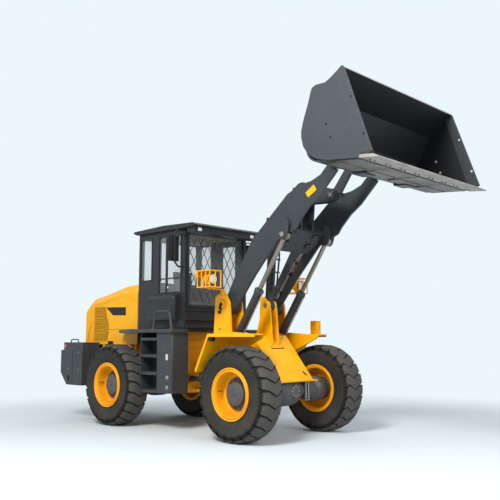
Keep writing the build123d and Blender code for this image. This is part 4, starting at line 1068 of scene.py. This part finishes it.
for end, toward in (("front", 1), ("rear", -1)):
    x = toward * axleReach
    centre = at(x, 0.0, axleLevel)
    near, far = (centre + Vector((toward * away, 0, 0)) for away in axles["cover"])
    bm = bmesh.new()
    addLathe(bm, axles["ball"], centre, (0, 1, 0), 64, False)
    # cover plate with its bolts on the side away from the drive shaft
    addRod(bm, near, far, 0.105, 0.092, segments=40, edge=0.004)
    for sign in signs:
        addLathe(bm, axles["bell"], centre, (0, sign, 0), 48, False)
        addSideBlock(bm, sign, (x - 0.16, x + 0.16), (0.32, 0.43), (0.53, 0.547), 0.003)
    finishPiece("axleCasing_" + end, bm, end, "axlePaint")

    bm = bmesh.new()
    addBoltCircle(bm, far, (toward, 0, 0), 0.075, 8, 0.008)
    reach, rows = axles["studs"]
    for sign in signs:
        addBoltCircle(bm, centre + Vector((0, sign * 0.786, 0)), (0, sign, 0), 0.176, 16, 0.007)
        for along in (-reach, reach):
            for y in rows:
                foot = at(x + along, sign * y, axles["studFoot"])
                addRod(bm, foot, foot + Vector((0, 0, axles["studLength"])), 0.011, segments=12)
                addRod(bm, foot + Vector((0, 0, 0.004)), foot + Vector((0, 0, 0.016)), 0.02, segments=6)
    finishPiece("axleBolts_" + end, bm, end, "zincPlate")
print("front frame and axles trimmed")


# rear frame, tanks, steps and counterweight

rear = {
    "hingePlates": (((-0.33, 0.57), (-0.24, 0.60), (-0.24, 0.72), (-0.33, 0.72)),
                    ((-0.33, 0.86), (-0.25, 0.88), (-0.25, 1.10), (-0.33, 1.20))),
    # cross plates at the steering joint: ahead, left, up
    "hingeBlocks": (((-0.328, -0.29), (0.365, 0.63), (0.745, 0.77)),
                    ((-0.328, -0.29), (0.365, 0.63), (0.84, 0.865)),
                    ((-0.36, -0.335), (0.365, 0.60), (0.60, 1.0))),
    "gusset": ((-1.85, 1.345), (-1.60, 1.345), (-1.16, 1.05), (-1.24, 1.03)),
    "tankFace": 1.0,
    "plugs": ((-0.045, 0.843), (-0.045, 0.69)),
    "label": ((-0.085, -0.03), (1.115, 1.205)),
    "cap": (-0.06, 1.345),
    "stepX": (-0.80, -0.335),
    "stepLevels": (0.60, 0.88, 1.16, 1.43),
    "treadBars": 7,
    "weightZ": (0.61, 1.24),
    "weightHalf": 1.0,
    "crease": -2.80,
    "weightBolts": ((-2.95, 0.90), (-2.60, 0.894), (-2.598, 1.20)),
    "weightHole": (-2.925, 0.725),
    "handle": ((-2.98, 1.383), (-2.96, 1.433), (-2.74, 1.433), (-2.72, 1.383)),
}

bm = bmesh.new()
for sign in signs:
    for outline in rear["hingePlates"]:
        addSidePlate(bm, sign, outline, 0.36, 0.40, 0.004)
    for spans in rear["hingeBlocks"]:
        addSideBlock(bm, sign, *spans, 0.003)
    addSidePlate(bm, sign, rear["gusset"], 0.56, 0.585, 0.003)
addBlock(bm, at(-0.345, -0.60, 1.30), at(-0.300, 0.60, 1.42), 0.006)
finishPiece("hingeStiffeners", bm, "rear", "yellowPaint")

steel, label, red = bmesh.new(), bmesh.new(), bmesh.new()
face = rear["tankFace"]
for sign in signs:
    for place in rear["plugs"]:
        addSideRod(steel, sign, place, face, face + 0.008, 0.034, 0.031, segments=28, edge=0.002)
        addSideRod(steel, sign, place, face + 0.008, face + 0.018, 0.02, segments=6)
    xSpan, zSpan = rear["label"]
    addSideBlock(label, sign, xSpan, (face, face + 0.0015), zSpan)
    addSideRod(red, sign, rear["cap"], face, face + 0.006, 0.02, edge=0.002)
finishPiece("tankPlugs", steel, "rear", "pinSteel")
finishPiece("tankLabels", label, "rear", "plateGrey")
finishPiece("tankCaps", red, "rear", "brownStrip")

bm = bmesh.new()
low, high = rear["stepX"]
inside = (low + 0.013, high - 0.013)
bars = rear["treadBars"]
for sign in signs:
    for level in rear["stepLevels"]:
        # raised tread bars and a turned-up outer lip on each step
        for number in range(bars):
            x = low + 0.05 + (high - low - 0.10) * number / (bars - 1)
            xSpan, zSpan = (x - 0.008, x + 0.008), (level + 0.025, level + 0.032)
            addSideBlock(bm, sign, xSpan, (0.78, 0.945), zSpan, 0.002)
        addSideBlock(bm, sign, inside, (0.955, 0.968), (level - 0.012, level + 0.034), 0.003)
    # upright risers, set back from the lips, between the steps
    for start, end in zip(rear["stepLevels"], rear["stepLevels"][1:]):
        addSideBlock(bm, sign, inside, (0.70, 0.712), (start + 0.02, end))
finishPiece("stepTreads", bm, "rear", "darkPaint")

bm, bolts, dark = bmesh.new(), bmesh.new(), bmesh.new()
zLow, zHigh = rear["weightZ"]
half = rear["weightHalf"]
for sign in signs:
    y = sign * half
    # a black line along the side's crease: painted shade in the fold
    x = rear["crease"]
    addStrip(dark, (x, zLow + 0.004), (x, zHigh - 0.004), y, y + sign * 0.001, -0.003, 0.003)
    for x, z in rear["weightBolts"]:
        addBolt(bolts, at(x, y, z), (0, sign, 0), 0.011)
    # a hole drawn as black discs: painted shade
    x, z = rear["weightHole"]
    for rise in (-0.03, 0.0, 0.03):
        addSideRod(dark, sign, (x, z + rise), half, half + 0.001, 0.03)
    # grab handle on the box above
    addTube(bm, [at(x, sign * 0.93, z) for x, z in rear["handle"]], 0.011, 0.04)
for sign in signs:
    addSideBlock(bm, sign, (-3.2, -3.19), (0.12, 0.30), (0.86, 1.08), 0.003)
finishPiece("weightHandles", bm, "rear", "darkPaint")
finishPiece("weightBolts", bolts, "rear", "pinSteel")
finishPiece("weightOpenings", dark, "rear", "shadeAndJointBlack")

rearLamps = {
    # glass, then each block by its spans ahead, left and up, and its rounding
    "tailLamps": ("redGlass", (((-3.128, -3.12), (0.68, 0.78), (1.27, 1.35), 0.003),
                               ((-3.10, -3.03), (0.99, 0.9935), (1.285, 1.335), 0.001))),
    "rearIndicators": ("amberGlass", (((-3.128, -3.12), (0.80, 0.87), (1.27, 1.35), 0.003),)),
    "reversingLamps": ("lampGlassAndGlint", (((-3.128, -3.12), (0.89, 0.95), (1.27, 1.35), 0.003),)),
}
for name, (glass, blocks) in rearLamps.items():
    bm = bmesh.new()
    for sign in signs:
        for block in blocks:
            addSideBlock(bm, sign, *block)
    finishPiece(name, bm, "rear", glass)
print("rear frame and tanks trimmed")


# hood

hood = {
    "half": 0.6,
    "bulge": ((-2.30, 1.40), (-2.249, 1.559), (-2.247, 1.696), (-2.321, 1.834), (-2.37, 2.035)),
    "bulgeFoot": -2.402,
    "meshPlane": 0.602,
    "meshX": (-2.725, 0.475),
    "meshZ": (1.41, 2.03),
    "pitch": 0.031,
    "wire": 0.0048,
    "shadeSheet": ((-2.735, -2.395), (0.556, 0.566), (1.395, 2.035)),
    "badge": ((-2.342, 2.019), (-1.731, 2.007), (-1.726, 1.862), (-2.124, 1.871)),
    "handle": ((-2.793, 1.773), (-2.857, 1.61), (-2.883, 1.445), (-2.855, 1.317)),
    "latch": ((-2.262, -2.10), (1.345, 1.405)),
    "lock": (-2.18, 1.375),
    "seam": ((-2.27, 1.612), (-1.40, 1.612)),
    "facet": ((-2.682, 2.069), (-1.713, 2.226), (-1.39, 2.10)),
}

bm, dark, badge, latch = bmesh.new(), bmesh.new(), bmesh.new(), bmesh.new()
face, wire = hood["half"], hood["wire"]
bulge = [(z, x) for x, z in hood["bulge"]]
foot = hood["bulgeFoot"]
(xLow, length), (zLow, zHigh) = hood["meshX"], hood["meshZ"]
levels = [zLow + 0.005 * step for step in range(125)]
for sign in signs:
    y = sign * face
    low, high = sorted((sign * hood["meshPlane"], sign * (hood["meshPlane"] + 0.004)))
    # black sheets behind the mesh, in the hood's face and its bulge: painted shade of the space behind the
    # grille
    addSideBlock(dark, sign, *hood["shadeSheet"])
    addSidePlate(dark, sign, [(foot, 1.40), *hood["bulge"], (foot, 2.035)], face, face + 0.001)
    count = round((zHigh - zLow) / hood["pitch"])
    for number in range(count + 1):
        z = zLow + (zHigh - zLow) * number / count
        addStrip(bm, (xLow, z), (between(bulge, z), z), low, high, -wire, wire)
    count = round(length / hood["pitch"])
    for number in range(count + 1):
        x = xLow + length * number / count
        reached = [z for z in levels if between(bulge, z) >= x]
        if reached:
            addStrip(bm, (x, reached[0]), (x, reached[-1]), low, high, -wire, wire)
    for start, end in zip(hood["facet"], hood["facet"][1:]):
        addStrip(bm, start, end, y, y + sign * 0.006, -0.012, 0.012, 0.004)
    addStrip(dark, *hood["seam"], y, y + sign * 0.0012, -0.0025, 0.0025)
    addSidePlate(badge, sign, hood["badge"], face, face + 0.006, 0.003)
    stands = (0.0, 0.045, 0.045, 0.0)
    addTube(bm, [at(x, y + sign * out, z) for (x, z), out in zip(hood["handle"], stands)], 0.011, 0.05)
    xSpan, zSpan = hood["latch"]
    addSideBlock(latch, sign, xSpan, (face, face + 0.008), zSpan, 0.006)
    addSideRod(latch, sign, hood["lock"], face + 0.008, face + 0.016, 0.017, segments=20, edge=0.003)
finishPiece("grilleMesh", bm, "rear", "yellowPaint")
finishPiece("grilleShadeSheet", dark, "rear", "shadeAndJointBlack")
finishPiece("hoodBadges", badge, "rear", "blackTrim")
finishPiece("hoodLatches", latch, "rear", "blackTrim")
print("hood trimmed")


# cab

cab = {
    "side": 0.70,
    "quarter": (-1.18, -0.87, 2.43, 3.15),
    "window": (-0.67, -0.10, 2.20, 3.15),
    "front": (-0.62, 0.62, 1.985, 3.15),
    "gasket": 0.016,
    "divider": -0.485,
    "dot": (-0.458, 2.294),
    "recess": (-1.037, 1.85),
    "lockerFace": 0.83,
    "lockerRidge": ((-0.775, 2.064), (-0.708, 2.087), (-0.389, 2.067), (-0.258, 1.989), (-0.195, 1.906),
                    (-0.19, 1.80)),
    "ledges": ((0.0, 0.050, 1.615, 1.665), (0.0, 0.030, 1.74, 1.775), (0.0, 0.022, 1.90, 1.925)),
    "roofLamps": 0.60,
    "mirror": (-0.11, -0.05, 0.79, 1.0, 2.69, 3.10),
    # dashboard, its hood, console and pedals: two corners and the rounding
    "controls": (((-0.135, -0.42, 1.95), (-0.055, 0.42, 2.02), 0.02),
                 ((-0.20, -0.15, 2.22), (-0.10, 0.15, 2.31), 0.02),
                 ((-0.86, -0.42, 1.61), (-0.50, -0.27, 2.02), 0.02),
                 ((-0.22, 0.13, 1.62), (-0.12, 0.25, 1.66), 0.008),
                 ((-0.22, -0.25, 1.62), (-0.12, -0.13, 1.66), 0.008)),
    "levers": (-0.30, -0.36),
}

gaskets, bars = bmesh.new(), bmesh.new()
for sign, windows in ((-1, ("quarter", "window")), (1, ("quarter",))):
    low, high = sorted((sign * cab["side"], sign * (cab["side"] + 0.007)))
    for window in windows:
        xLow, xHigh, zLow, zHigh = cab[window]
        addFrame(gaskets, at(xLow - 0.008, low, zLow - 0.008), at(xHigh + 0.008, high, zHigh + 0.008),
                 cab["gasket"], 1, 0.002)
x, y = cab["divider"], -cab["side"]
addBlock(bars, at(x - 0.016, y, 2.20), at(x + 0.016, y + 0.034, 3.15), 0.004)
addBlock(bars, at(-0.67, y, 2.43), at(-0.10, y + 0.030, 2.448), 0.003)
yLow, yHigh, zLow, zHigh = cab["front"]
for y in (yLow, yHigh):
    addBlock(gaskets, at(0.0, y - 0.010, zLow - 0.008), at(0.007, y + 0.010, zHigh), 0.002)
    addBlock(gaskets, at(-1.237, y - 0.010, 2.42), at(-1.23, y + 0.010, 3.15), 0.002)
addBlock(gaskets, at(0.0, yLow, zLow - 0.012), at(0.007, yHigh, zLow + 0.006), 0.002)
addBlock(gaskets, at(-1.237, yLow, 2.42), at(-1.23, yHigh, 2.436), 0.002)
finishPiece("windowGaskets", gaskets, "rear", "blackTrim")
finishPiece("windowBars", bars, "rear", "cabPaint")

bm = bmesh.new()
for xLow, xHigh, zLow, zHigh in cab["ledges"]:
    addBlock(bm, at(xLow, -0.69, zLow), at(xHigh, 0.69, zHigh), 0.006)
y = -cab["lockerFace"]
for start, end in zip(cab["lockerRidge"], cab["lockerRidge"][1:]):
    addStrip(bm, start, end, y, y - 0.007, -0.010, 0.010, 0.003)
addBlock(bm, at(-0.78, y - 0.004, 1.765), at(-0.15, y, 1.79), 0.003)
for xHigh, zLow, zHigh in ((0.0, 1.615, 1.665), (-0.04, 2.16, 2.185)):
    addBlock(bm, at(-0.70, -0.712, zLow), at(xHigh, -0.70, zHigh), 0.004)
finishPiece("cabLedges", bm, "rear", "cabPaint")

white, dark = bmesh.new(), bmesh.new()
# a small glowing white mark behind the side window: a painted highlight
x, z = cab["dot"]
addBlock(white, at(x - 0.013, -0.682, z - 0.016), at(x + 0.013, -0.679, z + 0.016))
# a black disc for the recess: painted shade in it
addSideRod(dark, -1, cab["recess"], cab["side"], cab["side"] + 0.0015, 0.025)
for sign in signs:
    y = sign * cab["roofLamps"]
    addBlock(white, at(0.24, y - 0.04, 3.172), at(0.252, y + 0.04, 3.228), 0.01)
    addBlock(dark, at(0.19, y - 0.052, 3.16), at(0.2395, y + 0.052, 3.234), 0.008)
finishPiece("roofLampsAndGlint", white, "rear", "lampGlassAndGlint")
finishPiece("cabDarkTrim", dark, "rear", "blackTrim")

bm = bmesh.new()
addBlock(bm, at(-1.178, -0.648, 3.166), at(-0.052, 0.648, 3.1745), 0.002)
finishPiece("headlinerPad", bm, "rear", "headliner")

bm = bmesh.new()
for y in (-0.66, -0.37, 0.37, 0.66):
    addBolt(bm, at(0.24, y, 3.203), (1, 0, 0), 0.011)
for sign in signs:
    for x in (-1.10, -0.80, -0.50, -0.20, 0.10):
        addBolt(bm, at(x, sign * 0.712, 3.215), (0, sign, 0), 0.008)
finishPiece("roofBolts", bm, "rear", "blackTrim")

glass, shell = bmesh.new(), bmesh.new()
xLow, xHigh, inner, outer, zLow, zHigh = cab["mirror"]
for sign in signs:
    low, high = sorted((sign * inner, sign * outer))
    middle = (low + high) / 2
    for mirror, x0, x1, side, rise, edge in ((glass, xLow - 0.003, xLow + 0.002, 0.012, 0.015, 0.002),
                                             (shell, xHigh - 0.004, xHigh + 0.012, 0.018, 0.025, 0.011)):
        addBlock(mirror, at(x0, low + side, zLow + rise), at(x1, high - side, zHigh - rise), edge)
    bracket = ((xHigh + 0.008, middle, -0.05), (0.01, middle * 0.93, 0.02), (0.01, middle * 0.80, 0.03),
               (-0.005, sign * 0.695, -0.01))
    addTube(shell, [at(x, y, zHigh + rise) for x, y, rise in bracket], 0.011, 0.05)
finishPiece("mirrorGlassPanes", glass, "rear", "mirrorGlass")
finishPiece("mirrorShells", shell, "rear", "blackTrim")

bm = bmesh.new()
for low, high, edge in cab["controls"]:
    addBlock(bm, at(*low), at(*high), edge)
for y in cab["levers"]:
    addRod(bm, at(-0.62, y, 1.61), at(-0.62, y, 2.30), 0.012, segments=12)
    addRod(bm, at(-0.62, y, 2.28), at(-0.62, y, 2.36), 0.022, 0.016, segments=16, edge=0.006)
finishPiece("cabControls", bm, "rear", "blackTrim")

bm = bmesh.new()
addRod(bm, at(-0.16, 0.647, 2.10), at(-0.16, 0.66, 2.10), 0.02, segments=16)
finishPiece("doorStop", bm, "rear", "blackTrim")

bm = bmesh.new()
addBlock(bm, at(-0.56, 0.70, 1.93), at(-0.44, 0.712, 1.98), 0.006)
grip = ((0.70, 2.0), (0.745, 2.0), (0.745, 2.12), (0.70, 2.12))
addTube(bm, [at(-0.60, y, z) for y, z in grip], 0.009, 0.02)
addFrame(bm, at(-0.603, 0.70, 2.142), at(-0.217, 0.707, 3.098), cab["gasket"], 1, 0.002)
finishPiece("doorTrim", bm, "door", "blackTrim")
print("cab trimmed")


# driver's seat

seat = {
    "base": ((-0.80, -0.18, 1.61), (-0.48, 0.18, 1.965)),
    "pan": ((-0.845, -0.225, 1.965), (-0.435, 0.225, 1.99)),
    "post": ((-0.925, -0.03, 2.0), (-0.905, 0.03, 2.30)),
    "cushion": ((-0.848, -0.228, 1.985), (-0.432, 0.228, 2.068)),
    "back": ((-0.912, -0.208, 2.075), (-0.832, 0.208, 2.625)),
    "lean": 0.10,
    "rounding": 0.024,
    "voxel": 0.006,
    "pressure": 4.0,
    "steps": 20,
    "swell": 0.016,
}


def settle(piece):
    # the modifiers' result becomes the mesh
    shaped = piece.evaluated_get(bpy.context.evaluated_depsgraph_get())
    mesh = bpy.data.meshes.new_from_object(shaped)
    before = piece.data
    piece.modifiers.clear()
    piece.data = mesh
    bpy.data.meshes.remove(before)


def puff(piece):
    # blown up a little as cloth, and held within the space the cushion has
    remesh = piece.modifiers.new("remesh", "REMESH")
    remesh.mode = "VOXEL"
    remesh.voxel_size = seat["voxel"]
    settle(piece)
    starts = [v.co.copy() for v in piece.data.vertices]
    cloth = piece.modifiers.new("cloth", "CLOTH")
    cloth.settings.use_pressure = True
    cloth.settings.uniform_pressure_force = seat["pressure"]
    cloth.settings.effector_weights.gravity = 0.0
    cloth.point_cache.frame_start = 1
    cloth.point_cache.frame_end = seat["steps"]
    for step in range(1, seat["steps"] + 1):
        bpy.context.scene.frame_set(step)
    settle(piece)
    for vertex, start in zip(piece.data.vertices, starts):
        moved = vertex.co - start
        if moved.length > seat["swell"]:
            vertex.co = start + moved.normalized() * seat["swell"]
    bpy.context.scene.frame_set(1)
    smoother = piece.modifiers.new("smoother", "SUBSURF")
    smoother.levels = 1
    settle(piece)
    for polygon in piece.data.polygons:
        polygon.use_smooth = True


for name, turn in (("cushion", None), ("back", Matrix.Rotation(-seat["lean"], 3, "Y"))):
    low, high = (Vector(corner) for corner in seat[name])
    bm = bmesh.new()
    addBlock(bm, at(*low), at(*high), seat["rounding"], turn)
    piece = finishPiece("seat" + name.capitalize(), bm, "rear", "seatVinyl")
    puff(piece)
    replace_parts(piece, "driver_seat")
bm = bmesh.new()
for name, edge in (("base", 0.02), ("pan", 0.006), ("post", 0.006)):
    low, high = seat[name]
    addBlock(bm, at(*low), at(*high), edge)
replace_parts(finishPiece("seatFrame", bm, "rear", "blackTrim"), "driver_seat")
print("seat made")


# studio

studio = {
    "eye": at(8.707, -8.054, 1.452),
    "heading": math.radians(44.515),
    "tilt": math.radians(7.149),
    "lens": 50.76,
    "floor": (0.70, 0.775, 0.815, 1.0),
    "floorHalf": 14.0,
    "backdrop": (0.84, 0.93, 0.98, 1.0),
    "sky": (0.92, 0.96, 1.0, 1.0),
    "ambient": 0.46,
    "aim": Vector((0.0, 0.0, 1.6)),
    # name, place, width, power, colour
    "lamps": (("keyLight", (3.5, -8.5, 8.5), 3.6, 1220.0, (1.0, 0.97, 0.93)),
              ("frontLight", (9.0, -1.0, 5.0), 6.0, 300.0, (1.0, 1.0, 1.0)),
              ("backLight", (-7.0, 7.0, 8.0), 6.0, 230.0, (0.95, 0.98, 1.0))),
}

bm = bmesh.new()
bmesh.ops.create_grid(bm, x_segments=1, y_segments=1, size=studio["floorHalf"])
mesh = bpy.data.meshes.new("studioFloor")
bm.to_mesh(mesh)
bm.free()
floor = bpy.data.objects.new("studioFloor", mesh)
mesh.materials.append(floorMaterial(studio["floor"]))
bpy.context.scene.collection.objects.link(floor)

world = bpy.data.worlds.new("studio")
bpy.context.scene.world = world
world.use_nodes = True
tree = world.node_tree
light = tree.nodes["Background"]
preset(light, {"Color": studio["sky"], "Strength": studio["ambient"]})
seen = put(tree, "Background")
preset(seen, {"Color": studio["backdrop"], "Strength": 1.0})
rays = put(tree, "LightPath")
shown = maths(tree, "MAXIMUM", rays.outputs["Is Camera Ray"], rays.outputs["Is Transmission Ray"])
shown = maths(tree, "MAXIMUM", shown, rays.outputs["Is Glossy Ray"])
choice = put(tree, "MixShader")
for socket, source in zip(choice.inputs, (shown, light.outputs[0], seen.outputs[0])):
    feed(tree, socket, source)
feed(tree, tree.nodes["World Output"].inputs["Surface"], choice.outputs[0])

for name, place, width, power, colour in studio["lamps"]:
    data = bpy.data.lights.new(name, "AREA")
    data.shape = "DISK"
    data.size = width
    data.energy = power
    data.color = colour
    lamp = bpy.data.objects.new(name, data)
    lamp.location = place
    lamp.rotation_mode = "QUATERNION"
    lamp.rotation_quaternion = (studio["aim"] - Vector(place)).to_track_quat("-Z", "Y")
    bpy.context.scene.collection.objects.link(lamp)

camera = bpy.data.objects.new("camera", bpy.data.cameras.new("camera"))
camera.data.lens = studio["lens"]
camera.data.sensor_width = 36.0
camera.data.clip_end = 200.0
camera.location = studio["eye"]
camera.rotation_euler = (math.pi / 2 + studio["tilt"], 0.0, studio["heading"])
bpy.context.scene.collection.objects.link(camera)
bpy.context.scene.camera = camera
bpy.context.scene.view_settings.view_transform = "Standard"
print("studio set")
